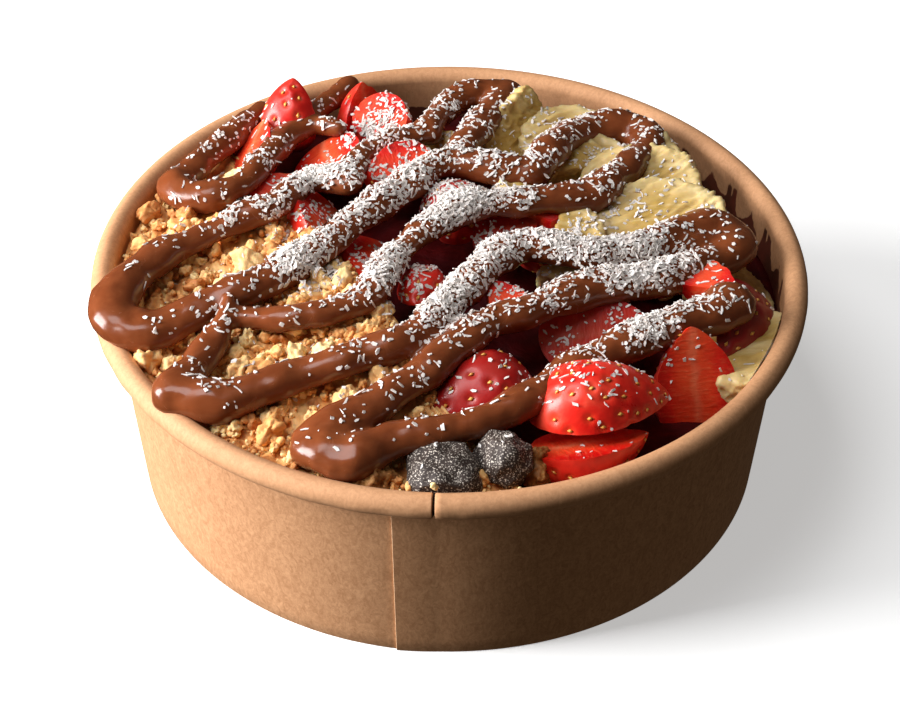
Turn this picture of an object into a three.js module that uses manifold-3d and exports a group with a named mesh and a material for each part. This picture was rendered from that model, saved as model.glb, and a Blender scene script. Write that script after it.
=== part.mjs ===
// Acai bowl in a round kraft paper bowl, millimetres, +Z up.
// The origin is the middle of the foot, on the table. +X is to the right, +Y to the back.
import * as THREE from 'three';
import { mergeVertices } from 'three/addons/utils/BufferGeometryUtils.js';
import Module from 'manifold-3d';

const wasm = await Module();
wasm.setup();

// Paper bowl
const BOWL_HEIGHT = 48.2;
const FOOT_RADIUS = 67.2;
const FOOT_WIDTH = 1.2;
const FLOOR_UNDERSIDE = 5.0;
const PAPER = 0.55;
const NECK_RADIUS = 70.65;
const NECK_HEIGHT = 43.3;
const ROLL_RADIUS = 72.57;
const ROLL_HALF_WIDTH = 2.43;
const ROLL_HALF_HEIGHT = 2.61;
const BOWL_SEGMENTS = 48;
const SEAM_ANGLE = -98.8;
const SEAM_LAP = 9;
const SEAM_STEP = 0.45;
const NOTCH_ANGLE = -92.2;
const NOTCH_WIDTH = 0.5;
const NOTCH_DEPTH = 0.6;

// Contents
const GAP = 0.3;
const ACAI_EDGE = 36.5;
const ACAI_RISE = 5;
const BEAD_EDGE = 48.2;
const BEAD_RISE = 7;
const HEAP_RADIUS = 66;
const BEAD_RADIUS = 3.4;
const BEAD_SIDES = 6;
const BEAD_STEP = 7.2;

// Granola
const GRANOLA_CENTRE = [-34, -22];
const GRANOLA_RIM = 69.2;
const GRANOLA_EDGE_FROM = [-50, 44];
const GRANOLA_EDGE_TO = [14, -66];
const GRANOLA_SPOKES = 22;
const GRANOLA_RINGS = 3;
const LUMP_TRIES = 900;
const LUMP_LIMIT = 40;

// Coconut
const FLAKE_LIMIT = 16;
const FLAKE_LENGTH = 2.8;
const FLAKE_WIDTH = 1.1;

const kraft = { color: 0xc08a5c, roughness: 0.75, metalness: 0 };
const acaiPulp = { color: 0x2a0610, roughness: 0.35, metalness: 0 };
const granolaOats = { color: 0xd9a765, roughness: 0.8, metalness: 0 };
const strawberry = { color: 0xc8201c, roughness: 0.35, metalness: 0 };
const banana = { color: 0xecdca0, roughness: 0.5, metalness: 0 };
const darkChocolate = { color: 0x2e2624, roughness: 0.5, metalness: 0 };
const hazelnutSauce = { color: 0x5f3420, roughness: 0.25, metalness: 0 };
const roastedNut = { color: 0x8a5a30, roughness: 0.7, metalness: 0 };

// Strawberry pieces: a berry of this length and width, cut at the faces named by its kind.
// tip is the way its pointed end looks, and face the way its first cut face looks.
const BERRIES = [
  ['strawberry_01', 'half', 28.5, 21, [29.5, -46.5, 47], [1, 0.25, 0.02], [0.05, -0.3, -1]],
  ['strawberry_02', 'half', 24, 17.5, [27, -54.5, 45.5], [1, 0.25, 0], [0.15, 0.42, 0.9]],
  ['strawberry_03', 'half', 24, 18, [49, -36, 44.5], [-0.1, 0.35, 0.9], [0.15, -0.85, 0.4]],
  ['strawberry_04', 'half', 26, 20, [57, -16.5, 42], [-0.2, -0.85, 0.2], [-0.75, 0.45, -0.3]],
  ['strawberry_05', 'chunk', 11, 11, [53, -13, 52.5], [0.3, 0.9, 0.1], [-0.2, -0.3, 0.9]],
  ['strawberry_06', 'half', 24, 17, [30, -24, 47.5], [1, 0.1, 0.05], [-0.1, -0.6, 0.75]],
  ['strawberry_07', 'half', 23, 18, [6, -41.5, 45], [-1, -0.45, 0.05], [0, 0.1, -1]],
  ['strawberry_08', 'half', 14, 11, [-5.5, -12.5, 48.5], [-0.2, -0.9, 0.3], [0.3, -0.1, -0.9]],
  ['strawberry_09', 'chunk', 11, 10, [11, -20, 52.5], [1, 0.1, 0], [0, -0.2, 0.9]],
  ['strawberry_10', 'half', 13, 11, [18.5, -0.5, 51], [-0.5, -0.6, 0.3], [0.2, -0.2, 0.9]],
  ['strawberry_11', 'quarter', 17, 18, [-14.5, -2, 48.5], [-0.2, -0.9, 0.2], [0.2, -0.5, 0.85]],
  ['strawberry_12', 'quarter', 19, 18, [-26.5, 12.5, 48], [-0.2, -0.8, 0.3], [0.3, -0.6, 0.7]],
  ['strawberry_13', 'half', 19, 16, [-27, 33.5, 49.5], [0.15, -0.9, 0.15], [-0.3, -0.5, 0.8]],
  ['strawberry_14', 'slice', 17, 13, [-11, 26.5, 51.5], [-0.9, -0.35, 0], [0.05, -0.4, 0.9]],
  ['strawberry_15', 'half', 16, 14, [-19, 53.5, 47.5], [-0.1, 0.35, 0.9], [0.75, -0.6, 0.3]],
  ['strawberry_16', 'slice', 16, 14, [-14.5, 47.5, 49.5], [0.7, -0.7, 0], [-0.1, -0.5, 0.85]],
  ['strawberry_17', 'half', 17, 14, [-35.5, 50, 50.2], [0.05, 0.35, 0.9], [0.5, 0.7, -0.3]],
  ['strawberry_18', 'half', 18, 14, [-44.5, 38, 48.8], [0.3, 0.9, 0.3], [-0.75, -0.3, 0.6]],
  ['strawberry_19', 'half', 15, 13, [-38, 21.5, 49], [0.5, 0.8, 0.1], [0, -0.3, 0.9]],
  ['strawberry_20', 'half', 17, 15, [2, 16, 48.5], [0.9, 0.3, 0.1], [0, 0.5, -0.9]],
  ['strawberry_21', 'half', 15, 13, [12, 6, 50], [0.8, 0.5, 0.1], [0, -0.3, 0.9]],
  ['strawberry_22', 'chunk', 11, 10, [19.5, 12.5, 52], [0.5, 0.8, 0.1], [0, -0.3, 0.9]],
];

// Banana pieces: round slices of this radius and thickness, halved where the kind says so.
// axis is the way the cut faces look, and flat the way the halving cut looks.
const BANANAS = [
  ['banana_01', 'half', 9, 20, [16.5, 45.5, 46.3], [0.6, 0.78, 0.15], [0.55, -0.55, 0.65]],
  ['banana_02', 'slice', 12.5, 7, [28, 43.5, 44.5], [0.1, -0.15, 1], [1, 0, 0]],
  ['banana_03', 'half', 12, 6, [29, 31.5, 47.5], [0.15, -0.1, 1], [0.3, -0.9, 0]],
  ['banana_04', 'half', 10, 7, [42, 37, 44.5], [-0.3, -0.3, 0.9], [-0.9, -0.2, 0]],
  ['banana_05', 'slice', 13, 7, [41.5, 24.5, 46.5], [-0.12, -0.28, 1], [1, 0, 0]],
  ['banana_06', 'slice', 14, 7, [45, 9, 47.5], [-0.08, -0.25, 1], [1, 0, 0]],
  ['banana_07', 'half', 11, 8, [22.5, 4, 47.5], [0, -0.2, 1], [-0.9, 0.3, 0]],
  ['banana_08', 'half', 9, 6, [35, 3, 46.5], [0.05, -0.3, 1], [-0.2, 0.9, 0]],
  ['banana_09', 'slice', 12, 6, [57.5, -1, 41], [0.55, 0.1, 0.8], [1, 0, 0]],
  ['banana_10', 'slice', 13, 6, [60, -24, 42], [-0.12, 0.08, 0.98], [1, 0, 0]],
  ['banana_11', 'half', 8, 7, [17.5, 20, 49], [0.2, -0.3, 0.9], [0.2, 1, 0]],
  ['banana_12', 'half', 9, 7, [-5, 44, 47], [-0.2, -0.4, 0.9], [0.2, 1, 0]],
];

// Dark chocolate chunks: size, centre and turn about the upright in degrees
const CHUNKS = [
  ['chocolate_chunk_1', [12.5, 12, 7], [-1, -64.5, 46.5], [14, 4, 12]],
  ['chocolate_chunk_2', [8.5, 9, 9], [10.5, -61, 47], [-20, 14, 30]],
  ['chocolate_chunk_3', [6.5, 4.5, 5], [-46, 19.5, 48], [10, 10, 20]],
  ['chocolate_chunk_4', [4, 4, 8], [-24, -11, 48.5], [8, 12, 35]],
];

// Browned nut pieces: radii and centre
const NUTS = [
  ['roasted_nut_1', [4.2, 3.4, 3.4], [-14.5, -64.8, 45.5]],
  ['roasted_nut_2', [2.6, 4, 4.6], [17, -60, 43.5]],
];

// Sauce runs: route seen from above, radii at start, middle and end, and lift at both ends
const SAUCE_LEFT = [
  {
    route: [[-43, 54.5], [-49, 44], [-54.5, 34], [-60, 24.5]],
    radii: [2.8, 3.3, 4.4],
  },
  {
    route: [[-60, 24.5], [-54.5, 19], [-46, 21], [-41, 30.5], [-37.5, 39], [-32.5, 46.5], [-29, 55], [-23.5, 63.5]],
    radii: [4.4, 3.3, 3],
  },
  {
    route: [[-35, 43.5], [-30, 45.5], [-25, 43]],
    radii: [2.6, 2.4, 2],
  },
];
const SAUCE_MAIN = [
  {
    route: [[-5, 41], [-9, 37.5], [-14.5, 35], [-18.5, 31], [-20.8, 25], [-21.5, 18.5]],
    radii: [3.4, 3.2, 3],
  },
  {
    route: [[-21.5, 18.5], [-28, 21.5], [-32, 20], [-34.5, 15], [-37.5, 10.5],
      [-43, 8.5], [-52, 2], [-60.5, -3.5], [-68.5, -16.5]],
    radii: [3, 3.3, 4.8],
    lift: [0, 2.4],
  },
  {
    route: [[-68.5, -17], [-67, -23], [-60, -26], [-47.5, -19.5], [-34.5, -11.5], [-23, -0.5], [-12, 13.5],
      [-1, 25.5], [9, 24], [18, 23.5]],
    radii: [4.8, 3.9, 3.9],
    lift: [2.4, 0],
  },
  {
    route: [[18, 23.5], [23, 34.5], [31.5, 44.5], [40.5, 46], [44, 39], [39, 28.5], [30, 15]],
    radii: [3.9, 4.4, 3.9],
  },
  {
    route: [[30, 15], [17, 11.5], [5, 8.5], [-5, 1], [-12, -10], [-17, -21], [-29.5, -26.5], [-42.5, -25]],
    radii: [3.9, 3.6, 2.6],
    lift: [0, 1],
  },
  {
    route: [[-44, -22.5], [-46, -28.5], [-50, -37], [-53.5, -44.5]],
    radii: [1.2, 3.4, 5],
    lift: [4, 1.2],
  },
  {
    route: [[-53.5, -44.5], [-44.5, -47], [-31.5, -42], [-17.5, -37.5], [-6, -31.5], [4, -17], [14, -5],
      [28.5, -6.5]],
    radii: [5, 3.9, 3.8],
    lift: [1.2, 0],
  },
  {
    route: [[28.5, -6.5], [40.5, -2.5], [49.5, 6], [56, 7.5], [60, 3.5], [57.5, -1.5], [51, -7], [43.5, -12.5]],
    radii: [3.8, 4.6, 4.2],
  },
  {
    route: [[45, -1.5], [50, 0.5], [56, 3]],
    radii: [3.2, 3.6, 3.6],
    lift: [-0.5, -0.5],
  },
  {
    route: [[43.5, -12.5], [30.5, -16], [17.5, -23.5], [6, -30], [-4, -41], [-13.5, -49], [-23.5, -57]],
    radii: [4.2, 3.9, 4.6],
  },
  {
    route: [[-23.5, -61.5], [-18.5, -63], [-9.5, -59], [3, -56], [14.5, -49.5], [23.5, -40],
      [37, -32], [48, -25.5], [56.8, -19.3]],
    radii: [4.6, 3.6, 5.3],
    lift: [0.8, 2],
  },
  {
    route: [[-23.5, -57], [-26, -59.5], [-23.5, -61.5]],
    radii: [4.6, 4.6, 4.6],
    lift: [0, 0.8],
  },
  {
    route: [[-5, 40], [-2, 50], [4.5, 58.5], [13, 60]],
    radii: [3.2, 3.6, 3.9],
  },
  {
    route: [[13, 59.5], [9, 48.5], [3, 35.5], [0, 27.5]],
    radii: [3.9, 3.9, 3.6],
    lift: [0, -2],
  },
];

function seededRandom(seed) {
  let state = seed >>> 0;
  return () => {
    state = (state + 0x6d2b79f5) >>> 0;
    let t = state;
    t = Math.imul(t ^ (t >>> 15), t | 1);
    t ^= t + Math.imul(t ^ (t >>> 7), t | 61);
    return ((t ^ (t >>> 14)) >>> 0) / 4294967296;
  };
}

function beadHeight(x, y) {
  return BEAD_EDGE + BEAD_RISE * Math.max(0, 1 - (Math.hypot(x, y) / HEAP_RADIUS) ** 2);
}

function acaiHeight(x, y) {
  const ripple = 0.5 * Math.sin(0.21 * x + 1) * Math.cos(0.17 * y);
  return ACAI_EDGE + ACAI_RISE * Math.max(0, 1 - (Math.hypot(x, y) / HEAP_RADIUS) ** 2) + ripple;
}

function innerRadius(z) {
  const slope = (NECK_RADIUS - FOOT_RADIUS) / NECK_HEIGHT;
  return FOOT_RADIUS + slope * Math.min(z, NECK_HEIGHT) - PAPER;
}

// A closed solid from any geometry, with equal corners joined and flat triangles left out
function solidOf(geometry) {
  const bare = geometry.clone();
  bare.deleteAttribute('normal');
  bare.deleteAttribute('uv');
  const joined = mergeVertices(bare, 1e-4);
  const corners = [];
  for (let i = 0; i < joined.index.count; i += 3) {
    const [a, b, c] = [0, 1, 2].map((k) => joined.index.getX(i + k));
    if (a !== b && b !== c && c !== a) corners.push(a, b, c);
  }
  return new wasm.Manifold(new wasm.Mesh({
    numProp: 3,
    vertProperties: new Float32Array(joined.attributes.position.array),
    triVerts: new Uint32Array(corners),
  }));
}

function geometryOf(solid) {
  const mesh = solid.getMesh();
  const geometry = new THREE.BufferGeometry();
  geometry.setAttribute('position', new THREE.BufferAttribute(new Float32Array(mesh.vertProperties), 3));
  geometry.setIndex(new THREE.BufferAttribute(new Uint32Array(mesh.triVerts), 1));
  geometry.computeVertexNormals();
  return geometry;
}

// The main body of a cut solid, without its loose scraps
function mainBody(solid) {
  return solid.decompose().reduce((best, piece) => (piece.volume() > best.volume() ? piece : best));
}

// Triangles between rings of equal length, with a pole at each end
function skinOf(rings, firstPole, lastPole) {
  const sides = rings[0].length;
  const positions = [];
  const index = [];
  rings.forEach((ring) => ring.forEach((p) => positions.push(p.x, p.y, p.z)));
  positions.push(firstPole.x, firstPole.y, firstPole.z, lastPole.x, lastPole.y, lastPole.z);
  const first = rings.length * sides;
  for (let j = 0; j < sides; j += 1) {
    const k = (j + 1) % sides;
    index.push(first, k, j);
    for (let i = 0; i + 1 < rings.length; i += 1) {
      const low = i * sides;
      const high = low + sides;
      index.push(low + j, low + k, high + k, low + j, high + k, high + j);
    }
    const last = (rings.length - 1) * sides;
    index.push(first + 1, last + j, last + k);
  }
  const geometry = new THREE.BufferGeometry();
  geometry.setAttribute('position', new THREE.Float32BufferAttribute(positions, 3));
  geometry.setIndex(index);
  return geometry;
}

// Local axes: Y along main, X as near to side as it can be
function placement(centre, main, side) {
  const y = new THREE.Vector3(...main).normalize();
  const x = new THREE.Vector3(...side);
  x.addScaledVector(y, -x.dot(y)).normalize();
  const z = new THREE.Vector3().crossVectors(x, y);
  return new THREE.Matrix4().makeBasis(x, y, z).setPosition(...centre);
}

// Cuts away what lies past the plane at this distance along the local direction
function cutPast(solid, direction, distance, reach) {
  const block = new THREE.BoxGeometry(2 * reach, 2 * reach, 2 * reach);
  const out = new THREE.Vector3(...direction).normalize();
  const turn = new THREE.Quaternion().setFromUnitVectors(new THREE.Vector3(1, 0, 0), out);
  const place = new THREE.Matrix4().compose(
    out.clone().multiplyScalar(distance + reach), turn, new THREE.Vector3(1, 1, 1));
  block.applyMatrix4(place);
  return solid.subtract(solidOf(block));
}

function moved(solid, matrix) {
  const geometry = geometryOf(solid);
  geometry.applyMatrix4(matrix);
  return solidOf(geometry);
}

function bowlProfile() {
  const points = [];
  points.push(new THREE.Vector2(FOOT_RADIUS - FOOT_WIDTH, 0));
  points.push(new THREE.Vector2(FOOT_RADIUS, 0));
  points.push(new THREE.Vector2(NECK_RADIUS, NECK_HEIGHT));
  const rollHeight = BOWL_HEIGHT - ROLL_HALF_HEIGHT;
  const steps = 6;
  for (let i = 0; i <= steps; i += 1) {
    const angle = THREE.MathUtils.degToRad(-100 + (i / steps) * 275);
    points.push(new THREE.Vector2(
      ROLL_RADIUS + ROLL_HALF_WIDTH * Math.cos(angle), rollHeight + ROLL_HALF_HEIGHT * Math.sin(angle)));
  }
  points.push(new THREE.Vector2(innerRadius(NECK_HEIGHT - 1), NECK_HEIGHT - 1));
  points.push(new THREE.Vector2(innerRadius(FLOOR_UNDERSIDE + PAPER), FLOOR_UNDERSIDE + PAPER));
  points.push(new THREE.Vector2(0, FLOOR_UNDERSIDE + PAPER));
  points.push(new THREE.Vector2(0, FLOOR_UNDERSIDE));
  points.push(new THREE.Vector2(FOOT_RADIUS - FOOT_WIDTH, FLOOR_UNDERSIDE));
  points.push(points[0].clone());
  return points;
}

// The lapped wall seam at the front, a step outward that fades over the lap
function seamStep(degrees) {
  const past = (degrees - SEAM_ANGLE) * THREE.MathUtils.DEG2RAD * NECK_RADIUS;
  return past >= 0 && past < SEAM_LAP ? SEAM_STEP * (1 - past / SEAM_LAP) : 0;
}

function bowlAngles() {
  const angles = [];
  for (let i = 0; i < BOWL_SEGMENTS; i += 1) angles.push(-180 + (360 * i) / BOWL_SEGMENTS);
  const notch = THREE.MathUtils.radToDeg(NOTCH_WIDTH / ROLL_RADIUS) / 2;
  angles.push(SEAM_ANGLE - 0.1, SEAM_ANGLE);
  angles.push(NOTCH_ANGLE - notch - 0.1, NOTCH_ANGLE - notch, NOTCH_ANGLE + notch, NOTCH_ANGLE + notch + 0.1);
  return angles.sort((a, b) => a - b);
}

// The bowl is turned round its axis with rows close together at the seam and the notch
function bowlSolid() {
  const profile = bowlProfile();
  const rows = profile.length - 1;
  const angles = bowlAngles();
  const geometry = new THREE.LatheGeometry(profile, angles.length);
  geometry.rotateX(Math.PI / 2);
  const spots = geometry.attributes.position;
  const notch = THREE.MathUtils.radToDeg(NOTCH_WIDTH / ROLL_RADIUS) / 2 + 0.01;
  const rollHeight = BOWL_HEIGHT - ROLL_HALF_HEIGHT;
  for (let i = 0; i < spots.count; i += 1) {
    const column = Math.floor(i / (rows + 1)) % angles.length;
    const row = i % (rows + 1);
    const degrees = angles[column];
    let { x: radius, y: height } = profile[row];
    const outside = row === 1 || row === 2;
    if (outside) radius += seamStep(degrees) * (row === 1 ? 0.9 : 1);
    if (row >= 3 && row <= 9 && Math.abs(degrees - NOTCH_ANGLE) < notch) {
      radius = ROLL_RADIUS + (radius - ROLL_RADIUS) * (1 - NOTCH_DEPTH / ROLL_HALF_WIDTH);
      height = rollHeight + (height - rollHeight) * (1 - NOTCH_DEPTH / ROLL_HALF_HEIGHT);
    }
    const angle = THREE.MathUtils.degToRad(degrees);
    spots.setXYZ(i, radius * Math.cos(angle), radius * Math.sin(angle), height);
  }
  return solidOf(geometry);
}

// Room round the rolled rim and the wall, for what leans over them
function rimClearance() {
  const out = ROLL_HALF_WIDTH + GAP;
  const up = ROLL_HALF_HEIGHT + GAP;
  const rollHeight = BOWL_HEIGHT - ROLL_HALF_HEIGHT;
  const bottom = NECK_HEIGHT - 16;
  const points = [new THREE.Vector2(innerRadius(bottom) - GAP, bottom)];
  points.push(new THREE.Vector2(ROLL_RADIUS + 6, bottom));
  points.push(new THREE.Vector2(ROLL_RADIUS + 6, rollHeight));
  for (let i = 1; i <= 5; i += 1) {
    const angle = (Math.PI * i) / 6;
    points.push(new THREE.Vector2(
      ROLL_RADIUS + out * Math.cos(angle) * 1.1, rollHeight + up * Math.sin(angle) * 1.05));
  }
  points.push(new THREE.Vector2(innerRadius(NECK_HEIGHT) - GAP - 0.35, rollHeight));
  points.push(points[0].clone());
  const geometry = new THREE.LatheGeometry(points, 40);
  geometry.rotateX(Math.PI / 2);
  return solidOf(geometry);
}

function acaiSolid() {
  const bottom = FLOOR_UNDERSIDE + PAPER + GAP;
  const segments = 30;
  const rings = [];
  const ringAt = (share, z) => {
    const ring = [];
    for (let j = 0; j < segments; j += 1) {
      const angle = (2 * Math.PI * j) / segments;
      const high = z === null;
      const reach = share * (innerRadius(high ? ACAI_EDGE : z) - GAP);
      const x = reach * Math.cos(angle);
      const y = reach * Math.sin(angle);
      ring.push(new THREE.Vector3(x, y, high ? acaiHeight(x, y) : z));
    }
    return ring;
  };
  rings.push(ringAt(1, bottom));
  [1, 0.7, 0.35].forEach((share) => rings.push(ringAt(share, null)));
  const top = new THREE.Vector3(0, 0, acaiHeight(0, 0));
  return solidOf(skinOf(rings, new THREE.Vector3(0, 0, bottom), top));
}

// Radius of a strawberry at a share of its length, from the stem end to the tip
function berryRadius(share, width) {
  return (width / 2) * Math.sin(Math.PI * share ** 0.76) ** 0.66;
}

function berrySolid([, kind, length, width, centre, tip, face], grow) {
  const shares = [0, 0.06, 0.25, 0.52, 0.8, 0.95, 1];
  const profile = shares.map((share) => {
    const along = (share - 0.5) * (length + 2 * grow);
    const radius = share > 0 && share < 1 ? berryRadius(share, width) + grow : 0;
    return new THREE.Vector2(radius, along);
  });
  const geometry = new THREE.LatheGeometry(profile, 8);
  let solid = solidOf(geometry);
  const cuts = {
    half: [[[1, 0, 0], 0]],
    quarter: [[[1, 0, 0], 0], [[0.1, 0, 1], 0]],
    slice: [[[1, 0, 0], 2.4], [[-1, 0, 0], 2.4]],
    chunk: [[[1, 0, 0], 1], [[0, -1, 0], 0.28 * length]],
  };
  cuts[kind].forEach(([direction, distance]) => {
    solid = cutPast(solid, direction, distance + grow, 60);
  });
  return moved(solid, placement(centre, tip, face));
}

function bananaSolid([, kind, radius, thickness, centre, axis, flat], grow) {
  const sides = 10;
  const outline = (level) => {
    const ring = [];
    for (let j = 0; j < sides; j += 1) {
      const angle = (2 * Math.PI * j) / sides;
      const reach = (radius + grow) * (1 + 0.035 * Math.cos(3 * angle + 0.4));
      ring.push(new THREE.Vector3(reach * Math.sin(angle), level, reach * Math.cos(angle)));
    }
    return ring;
  };
  const half = thickness / 2 + grow;
  const rings = [outline(-half), outline(half)];
  const ends = [new THREE.Vector3(0, -half, 0), new THREE.Vector3(0, half, 0)];
  let solid = solidOf(skinOf(rings, ...ends));
  if (kind === 'half') solid = cutPast(solid, [1, 0, 0], 0.1 * radius + grow, 60);
  return moved(solid, placement(centre, axis, flat));
}

function chunkSolid([, size, centre, turn], grow) {
  const [width, depth, height] = size.map((side) => side + 2 * grow);
  const shape = new THREE.BoxGeometry(width, depth, height, 2, 2, 2);
  const spots = shape.attributes.position;
  for (let i = 0; i < spots.count; i += 1) {
    const [x, y, z] = [spots.getX(i), spots.getY(i), spots.getZ(i)];
    const bulge = 1 + 0.12 * Math.sin(0.9 * x + centre[0]) * Math.cos(0.8 * y) - (z > 0 ? 0.14 : 0);
    const corner = (Math.abs(x) / width + Math.abs(y) / depth + Math.abs(z) / height) > 1.4 ? 0.86 : 1;
    spots.setXYZ(i, x * bulge * corner, y * bulge * corner, z * corner);
  }
  const turned = new THREE.Euler(...turn.map((angle) => THREE.MathUtils.degToRad(angle)));
  shape.applyMatrix4(new THREE.Matrix4().makeRotationFromEuler(turned).setPosition(...centre));
  return solidOf(shape);
}

function nutSolid([, radii, centre], grow) {
  const shape = new THREE.IcosahedronGeometry(1, 1);
  const spots = shape.attributes.position;
  for (let i = 0; i < spots.count; i += 1) {
    const [x, y, z] = [spots.getX(i), spots.getY(i), spots.getZ(i)];
    const bump = 1 + 0.12 * Math.sin(4 * x + 1) * Math.cos(5 * y) + 0.06 * Math.sin(6 * z);
    const [a, b, c] = radii.map((radius) => radius * bump + grow);
    spots.setXYZ(i, x * a + centre[0], y * b + centre[1], z * c + centre[2]);
  }
  return solidOf(shape);
}

// One run of sauce: a round bead along a smooth route, with domed ends
function runSolid({ route, radii, lift = [0, 0] }, grow) {
  const last = route.length - 1;
  const points = route.map(([x, y], i) => {
    const share = i / last;
    const raised = lift[0] * (1 - share) ** 3 + lift[1] * share ** 3;
    return new THREE.Vector3(x, y, beadHeight(x, y) + raised);
  });
  const curve = new THREE.CatmullRomCurve3(points, false, 'centripetal');
  const count = Math.ceil(curve.getLength() / BEAD_STEP);
  const rings = [];
  const ringAt = (centre, tangent, radius) => {
    const side = new THREE.Vector3().crossVectors(tangent, new THREE.Vector3(0, 0, 1)).normalize();
    const up = new THREE.Vector3().crossVectors(side, tangent);
    const ring = [];
    for (let j = 0; j < BEAD_SIDES; j += 1) {
      const angle = (2 * Math.PI * j) / BEAD_SIDES + 0.3;
      ring.push(centre.clone()
        .addScaledVector(side, radius * Math.cos(angle))
        .addScaledVector(up, -radius * Math.sin(angle)));
    }
    return ring;
  };
  const radiusAt = (share) => grow + (share < 0.5
    ? THREE.MathUtils.lerp(radii[0], radii[1], Math.min(1, share * 3.2))
    : THREE.MathUtils.lerp(radii[1], radii[2], Math.max(0, share * 3.2 - 2.2)));
  const poles = [];
  [0, 1].forEach((end) => {
    const centre = curve.getPointAt(end);
    const tangent = curve.getTangentAt(end);
    const radius = radiusAt(end);
    const out = end ? 1 : -1;
    const dome = centre.clone().addScaledVector(tangent, 0.62 * radius * out);
    poles.push(centre.clone().addScaledVector(tangent, 0.95 * radius * out));
    if (end) {
      for (let i = 1; i < count; i += 1) {
        rings.push(ringAt(curve.getPointAt(i / count), curve.getTangentAt(i / count), radiusAt(i / count)));
      }
      rings.push(ringAt(centre, tangent, radius), ringAt(dome, tangent, 0.72 * radius));
    } else {
      rings.push(ringAt(dome, tangent, 0.72 * radius), ringAt(centre, tangent, radius));
    }
  });
  return solidOf(skinOf(rings, ...poles));
}

function sauceSolid(runs, grow) {
  return runs.map((run) => runSolid(run, grow)).reduce((whole, run) => whole.add(run));
}

function meets(solid, others) {
  return others.some((other) => {
    const a = solid.boundingBox();
    const b = other.boundingBox();
    const apart = [0, 1, 2].some((k) => a.min[k] > b.max[k] || b.min[k] > a.max[k]);
    return !apart && !solid.intersect(other).isEmpty();
  });
}

// Distance from the middle of the granola to its outline, the bowl's wall or the edge of the fruit
function granolaReach(angle) {
  const [cx, cy] = GRANOLA_CENTRE;
  const [dx, dy] = [Math.cos(angle), Math.sin(angle)];
  const along = cx * dx + cy * dy;
  const toWall = -along + Math.sqrt(along ** 2 + GRANOLA_RIM ** 2 - cx ** 2 - cy ** 2);
  const [ex, ey] = [GRANOLA_EDGE_TO[0] - GRANOLA_EDGE_FROM[0], GRANOLA_EDGE_TO[1] - GRANOLA_EDGE_FROM[1]];
  const across = dx * ey - dy * ex;
  const offset = (GRANOLA_EDGE_FROM[0] - cx) * ey - (GRANOLA_EDGE_FROM[1] - cy) * ex;
  const toEdge = across * offset > 0 ? offset / across : Infinity;
  return Math.min(toWall, toEdge);
}

function granolaTop(x, y) {
  return beadHeight(x, y) - BEAD_RADIUS - 1 + 0.4 * Math.sin(0.35 * x) * Math.cos(0.3 * y);
}

function granolaCore() {
  const [cx, cy] = GRANOLA_CENTRE;
  const ringAt = (share, height) => {
    const ring = [];
    for (let j = 0; j < GRANOLA_SPOKES; j += 1) {
      const angle = (2 * Math.PI * j) / GRANOLA_SPOKES;
      const reach = share * granolaReach(angle);
      const [x, y] = [cx + reach * Math.cos(angle), cy + reach * Math.sin(angle)];
      ring.push(new THREE.Vector3(x, y, height(x, y)));
    }
    return ring;
  };
  const under = (x, y) => acaiHeight(x, y) + GAP + 1.3;
  const rings = [];
  for (let i = 1; i <= GRANOLA_RINGS; i += 1) rings.push(ringAt(i / GRANOLA_RINGS, under));
  for (let i = GRANOLA_RINGS; i >= 1; i -= 1) rings.push(ringAt(i / GRANOLA_RINGS, granolaTop));
  const ends = [
    new THREE.Vector3(cx, cy, under(cx, cy)), new THREE.Vector3(cx, cy, granolaTop(cx, cy))];
  return solidOf(skinOf(rings, ...ends));
}

// Oat clusters on the core, at seeded places clear of everything that lies on the granola
function granolaSolid(core, others) {
  const random = seededRandom(7);
  const placed = [];
  let whole = core;
  for (let i = 0; i < LUMP_TRIES && placed.length < LUMP_LIMIT; i += 1) {
    const angle = 2 * Math.PI * random();
    const share = Math.sqrt(random());
    const size = 2 + 1.9 * (1 - i / LUMP_TRIES) * random() + 0.4;
    const stretch = [0.85 + 0.4 * random(), 0.85 + 0.3 * random(), 0.8 + 0.25 * random()];
    const turn = new THREE.Euler(6 * random(), 6 * random(), 6 * random());
    const reach = share * (granolaReach(angle) - 1.5);
    const x = GRANOLA_CENTRE[0] + reach * Math.cos(angle);
    const y = GRANOLA_CENTRE[1] + reach * Math.sin(angle);
    const crowded = placed.some((spot) => Math.hypot(spot.x - x, spot.y - y) < 0.72 * (spot.size + size));
    if (crowded) continue;
    const lumpAt = (grow) => {
      const shape = new THREE.IcosahedronGeometry(1, 0);
      shape.applyMatrix4(new THREE.Matrix4().makeRotationFromEuler(turn));
      shape.scale(...stretch.map((part) => part * size + grow));
      shape.translate(x, y, granolaTop(x, y) + 0.45 * size);
      return solidOf(shape);
    };
    if (meets(lumpAt(GAP), others)) continue;
    placed.push({ x, y, size });
    whole = whole.add(lumpAt(0));
  }
  return mainBody(whole);
}

// How thickly coconut lies: most in a band from the back left to the middle right
function coconutShare(x, y) {
  const acrossBand = (x * 0.35 + (y - 2) * 0.94) / 34;
  const leftFade = THREE.MathUtils.smoothstep(x, -52, -18);
  return Math.exp(-(acrossBand ** 2)) * leftFade;
}

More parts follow.
